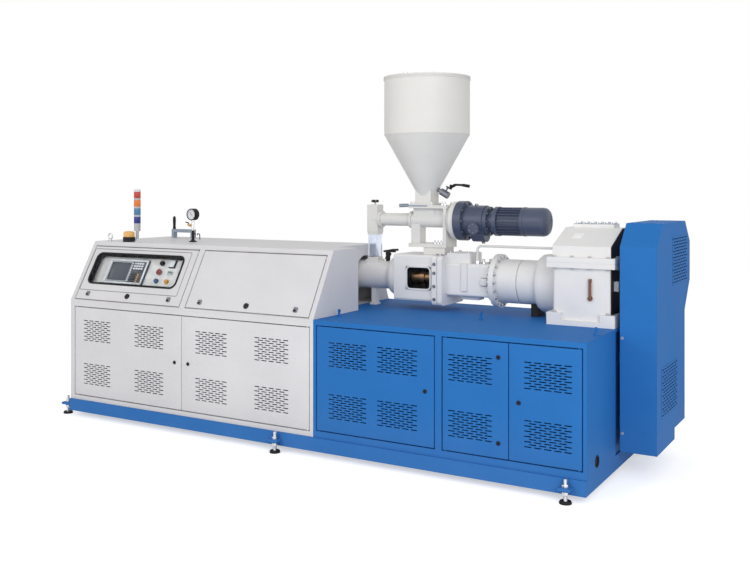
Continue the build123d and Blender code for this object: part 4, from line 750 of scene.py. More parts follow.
CONSOLE_DEPTH, TERMINAL_DEPTH = 0.062, 0.042
panel, board = sunk(TERMINAL_DEPTH), sunk(CONSOLE_DEPTH)
terminal = extent("operator_terminal")
term_w = (up_slope(terminal.low, CONSOLE_DEPTH), up_slope(terminal.high, TERMINAL_DEPTH))
TERM_W, TERM = sum(term_w) / 2, (terminal.right - terminal.left, term_w[1] - term_w[0], 0.006)
SCREEN_WIDE, SCREEN_EDGE, GLASS_IN = 0.200, 0.022, 0.006
SCREEN = (SCREEN_WIDE, TERM[1] - 2 * SCREEN_EDGE, 0.004)
GLASS = (SCREEN_WIDE - GLASS_IN, SCREEN[1] - GLASS_IN, 0.003)
SCREEN_X = terminal.left + SCREEN_EDGE + SCREEN_WIDE / 2
frame_rows = [(0.0, 0.0), (0.0, 0.003), (-0.002, 0.005), (-0.012, 0.005), (-0.015, 0.002), (-0.015, 0.0),
              (0.0, 0.0)]
glass_rows = [(0, -0.004), (0, -0.0030), (-0.001, -0.0026)]
trim = [(-0.003, -0.002), (-0.003, 0.001), (0.0, 0.0022), (0.003, 0.0022), (0.004, 0.0), (-0.003, -0.002)]
piece("terminal_frame", band(TERM, frame_rows, panel, (terminal.x, TERM_W)), white_moulding)
piece("terminal_screen", pad(GLASS, glass_rows, panel, (SCREEN_X, TERM_W)), screen_glass)
piece("screen_frame", band(SCREEN, trim, panel, (SCREEN_X, TERM_W)), grey_moulding)
UNIT_PLANE = plane_at(ORIGIN, RIGHT, BACK)
key = pad((1.0, 1.0, 0.2), [(0, 0), (0, 0.7), (-0.12, 1.0)], UNIT_PLANE, (0, 0), steps=2)
KEY_RISE, KEY_STEP, LOW_STEP = 0.003, 0.024, 0.018


def keys(spots, width, height):
    """Keys on the panel: one rounded block, scaled and repeated at its spots."""
    points, faces = key
    spread = np.concatenate([np.array(spots, float), np.zeros((len(spots), 1))], axis=1)
    return repeated(on_plane(panel, points * (width, height, KEY_RISE) + spread[:, None]), faces)


def key_spots(x, w, columns, rows, step_x, step_w):
    """Spots in columns and rows, from the first one."""
    return [(x + step_x * k, w + step_w * r) for k in range(columns) for r in range(rows)]


KEY_X, LOW_W = SCREEN_X + 0.137, TERM_W - 0.074
pad_spots = key_spots(KEY_X, TERM_W + 0.068, 4, 3, KEY_STEP, -0.020)
side_spots = key_spots(SCREEN_X + 0.1105, TERM_W - 0.066, 1, 8, 0.0, 0.019)
side_spots += key_spots(SCREEN_X - 0.1115, TERM_W - 0.060, 1, 6, 0.0, KEY_STEP)
amber_spots = key_spots(KEY_X + 0.060, LOW_W, 1, 4, 0.0, LOW_STEP)
dark_spots = key_spots(KEY_X + 0.004, LOW_W, 2, 4, KEY_STEP, LOW_STEP)
white_keys = joined(keys(pad_spots, 0.019, 0.013), keys(side_spots, 0.010, 0.012))
piece("terminal_keys", white_keys, white_moulding)
piece("amber_keys", keys(amber_spots, 0.013, 0.015), amber_button)
piece("dark_keys", keys(dark_spots, 0.017, 0.012), black_moulding)

BUTTON_R, BUTTON_TOP = 0.014, 0.040
buttons = extent("control_buttons")
button_x = (buttons.left + BUTTON_R, buttons.right - BUTTON_R)
button_low = up_slope(buttons.low, CONSOLE_DEPTH) + BUTTON_R
button_w = np.linspace(button_low, up_slope(buttons.high, BUTTON_TOP) - BUTTON_R, 3)


def button(name, column, row, cap_r, material, **how):
    """A push button: a collar and a domed cap, turned round the panel's outward way."""
    rows = [(0, 0), (0, 0.018), (0.004, 0.018), (0.006, 0.0165), (0.006, 0.011), (0.013, 0.011),
            (0.013, cap_r), (0.018, cap_r), (0.0205, cap_r * 0.85), (0.0218, cap_r * 0.45), (0.022, 0)]
    where = on_plane(board, np.array([[button_x[column], button_w[row], 0.0]]))
    spun(name, rows, where, board[3], material, **how)


button("run_button", 0, 2, 0.018, black_moulding, stands_for=("control_buttons",))
button("stop_button", 0, 1, 0.022, red_button)
button("jog_button", 0, 0, 0.016, blue_button)
button("reset_button", 1, 0, 0.015, amber_button)
rocker, selector = (button_x[1], button_w[2]), (button_x[1], button_w[1])
knob_at = (selector[0], selector[1] + 0.004)
rocker_rows, knob_rows = [(0, 0.010), (0, 0.015), (-0.002, 0.017)], [(0, 0.006), (0, 0.012), (-0.002, 0.014)]
piece("rocker_frame", pad((0.058, 0.062, 0.005), soft_plate(0.010, 0.003), board, rocker), black_moulding)
piece("rocker_key", pad((0.044, 0.052, 0.003), rocker_rows, board, rocker), white_moulding)
piece("selector_plate", pad((0.050, 0.030, 0.004), soft_plate(0.006, 0.002), board, selector), grey_moulding)
piece("selector_key", pad((0.030, 0.009, 0.003), knob_rows, board, knob_at), green_button)

# Coupling housing, distribution box and cylinder

sight = extent("coupling_window")
SIGHT_LAP, SIGHT_CORNER, SCREW_IN, SCREW_OUT, BACK_IN = 0.011, 0.022, 0.008, 0.0015, 0.004
SIGHT = (sight.right - sight.left - 2 * SIGHT_LAP, sight.high - sight.low - 2 * SIGHT_LAP, SIGHT_CORNER)
SIGHT_BACK = (SIGHT[0] - BACK_IN, SIGHT[1] - BACK_IN, SIGHT_CORNER - BACK_IN / 2)
corner_xs = (sight.left + SCREW_IN, sight.right - SCREW_IN)
corner_zs = (sight.low + SCREW_IN, sight.high - SCREW_IN)
corners = [(x, sight.front - SCREW_OUT, z) for x in corner_xs for z in corner_zs]
piece("sight_screws", placed(pan_screw(0.0055), corners, FRONT), dark_steel)
sight_rim = [(0.0105, 0.0002), (0.0105, 0.0068), (0.0095, 0.0075), (0.0015, 0.0075), (0.0, 0.0068),
             (0.0, 0.0062), (0.0105, 0.0002)]
liner = [(-0.0005, -0.001), (-0.0005, -0.266), (-0.0015, -0.266), (-0.0015, -0.001), (-0.0005, -0.001)]
sight_face, sight_at = facing_front(extent("coupling_housing").front), (sight.x, sight.z)
piece("sight_frame", band(SIGHT, sight_rim, sight_face, sight_at), white_casting)
piece("sight_liner", band(SIGHT, liner, sight_face, sight_at), black_rubber)
piece("sight_back", pad(SIGHT_BACK, [(0, -0.2695), (0, -0.268)], sight_face, sight_at), black_rubber)

flanges = extent("joint_flanges")
JOINT_R, JOINT_IN, JOINT_ON = 0.0095, 0.018, 0.057
joint_zs = [flanges.low + up for up in (0.041, 0.128, 0.215, 0.275)]
front_bolts = [(flanges.left + JOINT_IN, flanges.front, z) for z in joint_zs]
back_bolts = [(flanges.left + JOINT_IN, flanges.back, z) for z in joint_zs]
top_ys = [Y_AXIS + y for y in (-0.12, 0.0, 0.12)]
top_bolts = crossed((flanges.left + JOINT_IN, flanges.left + JOINT_ON), top_ys, flanges.high)
joint_bolts = joined(
    placed(bolt_head(JOINT_R, 0.010), front_bolts, FRONT),
    placed(bolt_head(JOINT_R, 0.009), back_bolts, BACK),
    placed(bolt_head(JOINT_R, 0.009), top_bolts, UP),
)
piece("joint_bolts", joint_bolts, dark_steel)
box = extent("distribution_box")
RING_COUNT, RING_START, RING_THICK, FRONT_R, BACK_R = 18, 10.0, 0.034, 0.159, 0.160
ring_bolt = bolt_head(0.010, 0.010)
ring_front = circle_places((box.right + RING_THICK, Y_AXIS, Z_AXIS), FRONT_R, RING_COUNT, RIGHT, RING_START)
ring_back = circle_places((box.right, Y_AXIS, Z_AXIS), BACK_R, RING_COUNT, RIGHT, RING_START)
piece("cylinder_bolts", placed(ring_bolt, ring_front, RIGHT), zinc_plate)
piece("cylinder_nuts", placed(ring_bolt, ring_back, LEFT), zinc_plate)
BOX_RIM, BOX_STEP, CATCH = 0.012, 0.066, (0.046, 0.048, 0.005)
box_face, catch_at = facing_front(box.front + BOX_RIM), (box.right - 0.0515, Z_AXIS - 0.004)
cover_shade_rim = [(0.0, 0.0), (0.0035, 0.0), (0.0035, 0.003), (0.0, 0.003), (0.0, 0.0)]
piece("box_cover", pad(CATCH, soft_plate(0.014, 0.003), box_face, catch_at), white_casting)
# A dark band round the raised cover pad: painted shade along its edges
piece("box_cover_shade_rim", band(CATCH, cover_shade_rim, box_face, catch_at), dark_moulding)
fitting = [(0, 0), (0, 0.013), (0.014, 0.013), (0.014, 0.008), (0.022, 0.008), (0.022, 0.010), (0.030, 0.010),
           (0.032, 0.006), (0.032, 0)]
fitting_spots = [(-0.0725, 0.0545), (-0.0375, 0.0895)]
fittings = [(box.right + x, box.front + y, box.high - BOX_STEP) for x, y in fitting_spots]
spun("box_fittings", fitting, fittings, UP, zinc_plate, 18, hexed=(1, 2))
block_spots = crossed((box.left + 0.020, box.left + 0.150), pair(Y_AXIS, 0.075), box.high)
piece("block_bolts", placed(cap_screw(0.009, 0.010), block_spots, UP), zinc_plate)
PIPE_Y, PIPE_Z = box.front + 0.038, box.high + 0.052
nut = [(0, 0), (0, 0.0155), (0.020, 0.0155), (0.022, 0.013), (0.022, 0)]
pipe_ends = [(box.right - 0.110, PIPE_Y, box.high - BOX_STEP), (extent("oil_pipe").right, PIPE_Y, PIPE_Z)]
spun("pipe_nuts", nut, pipe_ends, [UP, LEFT], zinc_plate, 18, hexed=(1, 2))

# Gearbox bolts and plates

gear, lid = extent("gearbox_casing"), extent("gearbox_cover")
RIM_THICK, RIM_IN, RIM_END, RIM_HALF, RIM_BOLTS = 0.032, 0.045, 0.015, 0.3175, 4
Z_RIM = gear.high + RIM_THICK
rim_ys = pair(Y_AXIS, RIM_HALF)
end_ys = [Y_AXIS + y for y in (-0.22, -0.08, 0.08, 0.22)]
rim_spots = crossed(np.linspace(gear.left + RIM_IN, gear.right - RIM_IN, RIM_BOLTS), rim_ys, Z_RIM)
rim_spots += crossed((gear.left + RIM_END, gear.right - RIM_END), end_ys, Z_RIM)
under = [(x, y, z - 2 * RIM_THICK) for x, y, z in rim_spots]
rim_bolt = bolt_head(0.0085, 0.009)
rim_bolts = joined(placed(rim_bolt, rim_spots, UP), placed(rim_bolt, under, DOWN))
piece("rim_bolts", rim_bolts, grey_moulding, slot="zinc_steel")
PLATE_RISE, PLATE_BOLTS, PLATE_IN = 0.003, 6, 0.100
plate_xs = np.linspace(gear.left + PLATE_IN, gear.right - PLATE_IN, PLATE_BOLTS)
plate_spots = crossed(plate_xs, pair(Y_AXIS, 0.048), lid.high + PLATE_RISE)
piece("plate_bolts", placed(cap_screw(0.0075, 0.010), plate_spots, UP), zinc_plate)
PLATE = (gear.right - gear.left - 0.164, 0.112, 0.004)
top_plate = pad(PLATE, soft_plate(PLATE_RISE, 0.001), facing_up(lid.high), (gear.x, Y_AXIS))
piece("inspection_plate", top_plate, bracket_enamel)
FOOT_RISE = 0.075
foot_spots = crossed((gear.left + RIM_IN, gear.right - RIM_IN), rim_ys, gear.low + FOOT_RISE)
piece("foot_bolts", placed(bolt_head(0.010, 0.012), foot_spots, UP), grey_moulding, slot="zinc_steel")
LID_RUN, LID_RISE, LID_HALF, LID_WALL = 0.247, 0.102, 0.305, 0.067
lid_way = np.array([0, LID_RUN, LID_RISE]) / math.hypot(LID_RUN, LID_RISE)
lid_slope = plane_at((0, Y_AXIS - LID_HALF, Z_RIM + LID_WALL), RIGHT, lid_way)
BARE, bare_at = (0.062, 0.075, 0.004), (gear.left + 0.145, 0.150)
bare_plate = pad(BARE, soft_plate(0.002, 0.0008), lid_slope, bare_at)
piece("bare_plate", bare_plate, plate_enamel)

# Black plates on the gearbox end beside the belt guard: partly a dark end cover, partly painted shade of the
# narrow gap to the guard

END_IN, END_HALF, END_TOP, END_EDGE, END_GAP, END_THICK = 0.030, 0.303, 0.057, 0.033, 0.0005, 0.003
EAVE, RIDGE = Z_RIM + 0.066, Z_RIM + 0.168
LID_FOOT, CASE_FOOT, CASE_TOP = Z_RIM + 0.001, gear.low + END_EDGE, gear.high - END_EDGE
lid_outline = [(-END_HALF, LID_FOOT), (-END_HALF, EAVE), (-END_TOP, RIDGE),
               (END_TOP, RIDGE), (END_HALF, EAVE), (END_HALF, LID_FOOT)]
case_outline = [(-END_HALF, CASE_FOOT), (-END_HALF, CASE_TOP), (0.0, CASE_TOP),
                (END_HALF, CASE_TOP), (END_HALF, CASE_FOOT), (0.0, CASE_FOOT)]
end_face = facing_right(gear.right - END_IN)
end_shade_plates = [
    thin_plate(np.array(outline) + (Y_AXIS, 0.0), end_face, END_GAP, END_GAP + END_THICK)
    for outline in (lid_outline, case_outline)
]
# The black over the end faces stands partly for the shade in the narrow gap to the guard: painted shade
piece("gear_end_shade_plates", joined(*end_shade_plates), black_enamel)

# Feeder, hopper and spout

feeder, Z_FEED = extent("feeder_frame"), extent("feeder_motor").z
stud = [(0, 0), (0, 0.0095), (0.009, 0.0095), (0.010, 0.008), (0.010, 0.005), (0.022, 0.005),
        (0.0235, 0.0035), (0.0235, 0)]
top_xs = [feeder.left + x for x in (0.014, 0.034, 0.250, 0.272)]
top_studs = crossed(top_xs, pair(Y_AXIS, 0.072), feeder.high)
spun("feeder_top_studs", stud, top_studs, UP, zinc_plate, 12, hexed=(1, 2))
RAIL = (0.144, 0.0096, 0.002)
rail_at = (feeder.left + RAIL[0] / 2, feeder.high - 0.005)
rail_strip = pad(RAIL, soft_plate(0.002, 0.001), facing_front(feeder.front), rail_at)
piece("gate_rail_strip", rail_strip, bracket_enamel)
SHELF_RISE = 0.073
low_xs = [feeder.right - x for x in (0.0885, 0.0655, 0.0425)]
low_studs = crossed(low_xs, pair(Y_AXIS, 0.070), feeder.low + SHELF_RISE)
spun("feeder_low_studs", stud, low_studs, UP, zinc_plate, 12, hexed=(1, 2))
sleeve = [(0.0005, 0.0), (0.0005, 0.0955), (0.033, 0.1280), (0.0655, 0.1280), (0.0655, 0.0)]
spun("adapter_sleeve", sleeve, [(feeder.right, Y_AXIS, Z_FEED)], RIGHT, bin_enamel, 72)

hopper = extent("hopper")
HOPPER_R, HOPPER_SIDES, SEAT, SEAT_HALF = (hopper.right - hopper.left) / 2, 96, 0.012, 0.070
seat_bolts = crossed(pair(hopper.x, SEAT_HALF), pair(Y_AXIS, SEAT_HALF), hopper.low + SEAT)
piece("hopper_bolts", placed(bolt_head(0.0075, 0.007), seat_bolts, UP), zinc_plate)
ROLL_R, ROLL_DOWN, ROLL_OUT, SHOULDER_DOWN, WELD_IN = 0.005, 0.010, 0.0005, 0.384, 0.0003
roll = np.linspace(0, 2 * np.pi, 13)
roll_z, roll_r = hopper.high - ROLL_DOWN + ROLL_R * np.sin(roll), HOPPER_R + ROLL_OUT + ROLL_R * np.cos(roll)
hopper_axis = [(hopper.x, Y_AXIS, 0)]
spun("hopper_rim", np.stack([roll_z, roll_r], axis=-1), hopper_axis, UP, bin_enamel, HOPPER_SIDES)
weld = [(-0.004, -0.0012), (-0.002, 0.0010), (0.001, 0.0014), (0.004, 0.0002), (0.0, -0.003),
        (-0.004, -0.0012)]
weld_rows = np.array(weld) + (hopper.high - SHOULDER_DOWN, HOPPER_R - WELD_IN)
spun("shoulder_weld", weld_rows, hopper_axis, UP, bin_enamel, HOPPER_SIDES)
LID_EDGE, CLIP, CLIPS, CLIP_START, CLIP_R = 0.010, (0.030, 0.016, 0.004), 3, 25.0, 0.270
clip_points, clip_faces = pad(CLIP, soft_plate(0.010, 0.003), facing_up(hopper.high + LID_EDGE), (0, 0))
clip_at = circle_places((hopper.x, Y_AXIS, 0), CLIP_R, CLIPS, UP, CLIP_START)
piece("lid_clips", repeated(clip_points + clip_at[:, None], clip_faces), zinc_plate)

feed, spout = extent("feed_tube"), extent("downspout_tube")
KNOB_R, KNOB_LOBES, LOBE_DEPTH, KNOB_SINK = 0.0250, 5, 0.0030, 0.0185
knob_shares = [(0.0, 0.0), (0.0, 0.86), (0.004, 1.0), (0.014, 1.0), (0.019, 0.86), (0.0195, 0.0)]
knob = fluted(knob_shares, KNOB_R, KNOB_LOBES, LOBE_DEPTH, 40)
piece("spout_knob", placed(knob, [(spout.x, Y_AXIS, feed.high - KNOB_SINK)], UP), black_moulding)
collar = [(0, 0.0442), (0, 0.058), (0.006, 0.060), (0.016, 0.060), (0.020, 0.056), (0.020, 0.0442),
          (0, 0.0442)]
collar_at = [(x, Y_AXIS, Z_FEED) for x in (feed.left + 0.0865, feed.right - 0.022)]
spun("tube_collars", collar, collar_at, RIGHT, bin_enamel, 40)
SPOUT = (spout.right - spout.left, spout.right - spout.left, 0.002)
strap = [(0.0, 0.0), (0.004, 0.0), (0.0055, 0.003), (0.0055, 0.013), (0.004, 0.016), (0.0, 0.016), (0.0, 0.0)]
strap_zs = (spout.low + 0.0005, spout.high - 0.017)
straps = [band(SPOUT, strap, facing_up(z), (spout.x, Y_AXIS)) for z in strap_zs]
piece("spout_bands", joined(*straps), bin_enamel)

# Reducer and motor

reducer, cowl = extent("feeder_reducer"), extent("motor_cowl")
FLANGE_X, FLANGE_R, CLAMP_X, CLAMP_END_X, CLAMP_R = 0.122, 0.120, 0.290, 0.329, 0.085
DRIVE_BOLTS, DRIVE_START, BOSS_R, BOSS_SCREWS = 10, 18.0, 0.028, 6


def drive_ring(x, radius):
    """Places of bolts round the drive's axis, at a distance along the reducer."""
    return circle_places((reducer.left + x, Y_AXIS, Z_FEED), radius, DRIVE_BOLTS, RIGHT, DRIVE_START)


piece("reducer_bolts", placed(bolt_head(0.0085, 0.010), drive_ring(FLANGE_X, FLANGE_R), RIGHT), dark_steel)
clamp_bolt = bolt_head(0.0075, 0.009)
clamp_front = placed(clamp_bolt, drive_ring(CLAMP_X, CLAMP_R), RIGHT)
clamp_back = placed(clamp_bolt, drive_ring(CLAMP_END_X, CLAMP_R), LEFT)
piece("clamp_bolts", joined(clamp_front, clamp_back), dark_steel)
boss_at = (reducer.left + 0.2153, Y_AXIS - 0.128, Z_FEED - 0.046)
boss_spots = circle_places(boss_at, BOSS_R, BOSS_SCREWS, FRONT)
piece("boss_screws", placed(cap_screw(0.0045, 0.004), boss_spots, FRONT), dark_steel)
plug = [(0, 0), (0, 0.012), (0.010, 0.012), (0.012, 0.010), (0.012, 0)]
plug_at = [(reducer.left + 0.1865, Y_AXIS, Z_FEED + 0.103),
           (reducer.left + 0.2365, Y_AXIS, reducer.low + 0.001)]
spun("oil_plugs", plug, plug_at, [UP, DOWN], dark_steel, 18, hexed=(1, 2))
RIB_TOP, RIB_FOOT, GRILLE_R, GRILLE_BACK = 0.0016, 0.0002, 0.056, -0.001
RIBS, RIB_START, RIB_STEP, BAND_IN = 6, 0.004, 0.0085, 0.004
grille = [(0.0, 0.0)]
for inner in RIB_START + RIB_STEP * np.arange(RIBS):
    grille += [(RIB_TOP, inner), (RIB_TOP, inner + 0.0045)]
    grille += [(RIB_FOOT, inner + 0.0055), (RIB_FOOT, inner + 0.0078)]
grille += [(RIB_FOOT, GRILLE_R), (GRILLE_BACK, GRILLE_R), (GRILLE_BACK, 0.0)]
spun("cowl_grille", grille, [(cowl.right, Y_AXIS, Z_FEED)], RIGHT, motor_enamel, 48)
cowl_band = [(0, 0.0932), (0.0, 0.0945), (0.004, 0.0955), (0.016, 0.0955), (0.020, 0.0945), (0.020, 0.0932),
             (0, 0.0932)]
spun("cowl_band", cowl_band, [(cowl.left + BAND_IN, Y_AXIS, Z_FEED)], RIGHT, motor_enamel, 64)

# Barrel valve, lever grip, cable grommet and guard bolts


def path_from(x, y, z, steps):
    """Points at a depth, stepped along and up from a first point."""
    return [(x + along, y, z + up) for along, up in steps]


valve = extent("barrel_valve")
VALVE_IN, VALVE_WAY = 0.012, (0.18, 0, 0.98)
body_rows = [(0.0, 0.0), (0.0, 0.019), (0.010, 0.020), (0.014, 0.017), (0.030, 0.017), (0.034, 0.021),
             (0.046, 0.021), (0.050, 0.014), (0.062, 0.012), (0.062, 0.0)]
valve_body = placed(turned(body_rows), [(valve.left + VALVE_IN, valve.y, valve.low + VALVE_IN)], VALVE_WAY)
handle = [(-0.030, -0.010), (0.0, -0.006), (0.040, 0.002), (0.085, 0.004)]
handle_path = path_from(valve.left + VALVE_IN, valve.y, valve.high, handle)
piece("valve_body", joined(valve_body, tube(bent(handle_path, 0.012), 0.0075)), black_enamel)
lever, LEVER_LENGTH, LEVER_HALF = extent("valve_lever"), 0.130, 0.003
GRIP_R, GRIP_SWELL = 0.0090, 0.0015
grip = [(-0.005, -0.026), (0.008, -0.010), (0.034, 0.002), (0.085, 0.0), (0.136, -0.008)]
grip_path = bent(path_from(lever.right - LEVER_LENGTH, lever.y, lever.high - LEVER_HALF, grip), 0.0095)
swell = GRIP_R + GRIP_SWELL * np.sin(np.linspace(-np.pi / 2, 2.5 * np.pi, len(grip_path)))
piece("lever_grip", tube(grip_path, swell, 16), black_rubber, "valve_lever")
wall = extent("blue_end_wall")
grommet_at = (wall.right, wall.front + 0.157, wall.low + 0.059)
grommet = [(-0.012, 0), (-0.012, 0.0296), (0.0, 0.0296), (0.0, 0.0350), (0.003, 0.0345), (0.004, 0.031),
           (0.002, 0.027), (-0.006, 0.0262), (-0.006, 0)]
spun("cable_grommet", grommet, [grommet_at], RIGHT, black_rubber, 40)
guard_spots = [(guard.left + 0.048, guard.front, guard.low + up) for up in (0.657, 0.107)]
piece("guard_bolts", placed(bolt_head(0.0075, 0.006), guard_spots, FRONT), zinc_plate)

# Screw tips in the barrel's mouth: a round root with a helical flight

TIP_TURNS, TIP_ROWS, TIP_SPREAD, TIP_SHARP = 48, 24, 0.027, 60.0
TIP_START, TIP_LENGTH, TIP_PITCH, TIP_ROOT, TIP_FLIGHT, TIP_NOSE = 0.003, 0.036, 0.022, 0.0205, 0.0105, 0.35
FLIGHT_HALF, FLIGHT_EDGE = 0.9, 9
turns = np.arange(TIP_TURNS) * 2 * np.pi / TIP_TURNS


def screw_tip(y, hand):
    """A screw's end: radius = root + flight where the angle less the helix is near zero, pointed in front."""
    depth = np.linspace(0.0, 1.0, TIP_ROWS)[:, None]
    run = TIP_START + TIP_LENGTH * depth
    phase = (turns[None] * hand - 2 * np.pi * run / TIP_PITCH + np.pi) % (2 * np.pi) - np.pi
    flight = TIP_FLIGHT / (1 + np.exp((np.abs(phase) - FLIGHT_HALF) * FLIGHT_EDGE))
    radius = (TIP_ROOT + flight) * np.clip(depth / TIP_NOSE, 0, 1) ** 0.5
    radius[-1] = 0.0
    rows = [barrel.left + run + 0 * radius, y + radius * np.cos(turns), Z_AXIS + radius * np.sin(turns)]
    return np.stack(rows, axis=-1).reshape(-1, 3), grid_faces(TIP_ROWS, TIP_TURNS, ring=True)


tips = joined(*[screw_tip(Y_AXIS + TIP_SPREAD * s, -s) for s in BOTH])
piece("screw_tips", tips, bright_steel, sharp=TIP_SHARP)

# Signal tower and beacon

tower, lenses, beacon = extent("signal_tower"), extent("signal_lenses"), extent("warning_beacon")
LENS_STEP, LENS_TALL, LENS_RIM, LENS_SHARE, LENS_SIDES = 0.063, 0.050, 0.002, 0.965, 96
LENS_R, LENS_RIBS, LENS_DEPTH, DOME_R, DOME_RIBS, DOME_DEPTH = 0.0242, 24, 0.0006, 0.0395, 32, 0.0009


def lens_rows(low, high, dome=0.0):
    """A lens as heights and shares of its radius, drawn in at its top or crowned by a dome."""
    rows = [(low, 0.0), (low, LENS_SHARE), (low + LENS_RIM, 1.0), (high - dome - LENS_RIM, 1.0)]
    if dome:
        crown = np.radians([8, 25, 45, 65, 80, 90])
        return rows + [(high - dome + dome * math.sin(a), max(math.cos(a), 0.0)) for a in crown]
    return rows + [(high, LENS_SHARE), (high, 0.0)]


for level, (name, tint) in enumerate(lens_finishes.items()):
    low = lenses.low + level * LENS_STEP
    lens = fluted(lens_rows(low, low + LENS_TALL), LENS_R, LENS_RIBS, LENS_DEPTH, LENS_SIDES)
    replaced = ("signal_lenses",) if level == 0 else ()
    piece(f"lens_{name}", placed(lens, [(lenses.x, lenses.y, 0)], UP), tint, stands_for=replaced)
CAP_SINK = 0.0145
cap = [(0, 0), (0, 0.0247), (0.010, 0.0247), (0.015, 0.021), (0.0165, 0.012), (0.0165, 0)]
foot = [(0, 0), (0, 0.034), (0.004, 0.034), (0.008, 0.028), (0.010, 0.0165), (0.022, 0.0135), (0.022, 0)]
spun("tower_cap", cap, [(lenses.x, lenses.y, tower.high - CAP_SINK)], UP, white_moulding, 40)
spun("tower_foot", foot, [(lenses.x, lenses.y, Z_ROOF)], UP, white_moulding, 40)
BEACON_BASE, DOME_OUT, DOME_TALL = 0.036, 0.006, 0.012
base = [(0, 0), (0, 0.0452), (0.008, 0.0452), (0.010, 0.0440), (0.022, 0.0440), (0.026, 0.0452),
        (0.0345, 0.0452), (BEACON_BASE, 0.0435), (BEACON_BASE, 0)]
beacon_at = [(beacon.x, beacon.y, beacon.low)]
spun("beacon_base", base, beacon_at, UP, black_moulding, 48, stands_for=("warning_beacon",))
dome_rows = lens_rows(BEACON_BASE, beacon.high - beacon.low + DOME_OUT, DOME_TALL)
dome = fluted(dome_rows, DOME_R, DOME_RIBS, DOME_DEPTH, LENS_SIDES)
piece("beacon_dome", placed(dome, beacon_at, UP), amber_dome)

# Pressure gauge: dial, post and cock

gauge, DIAL_R, FACE_RISE, SLEEVE_UP = extent("pressure_gauge"), 0.042, 0.0016, 0.085
MARKS, MARK_OUT, LONG_MARK, SHORT_MARK, MARK_WIDE, MARK_RISE = 28, 0.0335, 0.0065, 0.0035, 0.0009, 0.0006
dial_at = [(gauge.x, gauge.front, gauge.high - DIAL_R)]
dial_rim = [(-0.040, 0.0422), (-0.040, 0.0440), (0.002, 0.0445), (0.006, 0.0425), (0.006, 0.0385),
            (0.003, 0.0375), (-0.004, 0.0375), (-0.004, 0.0422), (-0.040, 0.0422)]
spun("dial_rim", dial_rim, dial_at, FRONT, black_moulding, 56)
dial_face = [(0.0005, 0), (0.0005, 0.0378), (0.0015, 0.0378), (0.0015, 0)]
spun("dial_face", dial_face, dial_at, FRONT, white_moulding, 48)
dial_plane = plane_at((gauge.x, gauge.front - FACE_RISE, gauge.high - DIAL_R), RIGHT, UP)
sweep = np.radians(np.linspace(-45, 225, MARKS))
mark_points, mark_faces = pad((1.0, 1.0, 0.01), [(0, 0), (0, 1.0)], UNIT_PLANE, (0, 0), steps=2)
mark_x, mark_y, mark_z = (mark_points[None, :, k:k + 1] for k in range(3))
length = np.where(np.arange(MARKS) % 3 == 0, LONG_MARK, SHORT_MARK)[:, None, None]
out_way = np.stack([np.cos(sweep), np.sin(sweep)], -1)[:, None]
side_way = np.stack([-np.sin(sweep), np.cos(sweep)], -1)[:, None]
flat = out_way * (MARK_OUT - length / 2 + mark_x * length) + side_way * mark_y * MARK_WIDE
ticks = np.concatenate([flat, MARK_RISE * mark_z + 0 * flat[..., :1]], axis=-1)
piece("dial_marks", repeated(on_plane(dial_plane, ticks), mark_faces), black_moulding)
NEEDLE_TURN = np.array([[-0.62, 0.785], [-0.785, -0.62]])
needle = np.array([(-0.010, -0.0014), (0.027, -0.0005), (0.028, 0.0), (0.027, 0.0005), (-0.010, 0.0014)])
piece("dial_needle", thin_plate(needle @ NEEDLE_TURN, dial_plane, 0.0008, 0.0016), black_moulding)
post = [(0, 0.0101), (0, 0.0125), (0.002, 0.0135), (0.010, 0.0135), (0.012, 0.0115), (0.070, 0.0115),
        (0.072, 0.014), (0.086, 0.014), (0.088, 0.0115), (0.098, 0.0101), (0, 0.0101)]
spun("post_sleeve", post, [(gauge.x, gauge.y, gauge.low + SLEEVE_UP)], UP, bright_steel, 32)
post_foot = [(0, 0), (0, 0.030), (0.005, 0.030), (0.008, 0.027), (0.008, 0.016), (0.020, 0.013), (0.020, 0)]
spun("post_foot", post_foot, [(gauge.x, gauge.y, gauge.low)], UP, black_moulding, 32)
cock = [(0, 0), (0, 0.007), (0.014, 0.007), (0.014, 0.011), (0.034, 0.011), (0.034, 0.0075), (0.042, 0.0075),
        (0.042, 0)]
COCK_WAY, COCK_REACH = np.array([-0.94, 0, 0.34]), 0.030
cock_at = np.array([gauge.x - 0.010, gauge.y, gauge.low + 0.118])
spun("gauge_cock", cock, [cock_at], COCK_WAY, turned_brass, 20, hexed=(3, 4))
cock_handle = path_from(*(cock_at + COCK_REACH * COCK_WAY), [(0, 0), (-0.006, 0.016), (-0.034, 0.018)])
piece("cock_handle", tube(bent(cock_handle, 0.008), 0.004), black_enamel)

# Bracket grip, hooks and eyebolt on the roof

bracket = extent("vent_bracket")
grip_at = (bracket.left + 0.012, bracket.y, bracket.low + 0.066)
grip_rows = [(0, 0), (0, 0.0125), (0.006, 0.0130), (0.030, 0.0110), (0.075, 0.0125), (0.096, 0.0115),
             (0.108, 0.006), (0.109, 0)]
spun("bracket_grip", grip_rows, [grip_at], UP, black_rubber)
HOOK_Y, HOOKS = Y_AXIS - 0.0675, ((0.4355, 1), (0.5055, -1))
hook_steps = {s: [(0, 0), (0, 0.040), (0.022 * s, 0.047), (0.026 * s, 0.031)] for s in BOTH}
hooks = [tube(bent(path_from(roof.left + x, HOOK_Y, Z_ROOF, hook_steps[s]), 0.010), 0.004) for x, s in HOOKS]
piece("roof_hooks", joined(*hooks), black_enamel)
EYE_R, EYE_BAR, EYE_UP, EYE_ROWS, EYE_SIDES = 0.021, 0.005, 0.034, 33, 12
eye_at = (roof.left + 0.0475, Y_CAB + 0.3255, Z_ROOF)
major = np.linspace(0, 2 * np.pi, EYE_ROWS)[:, None]
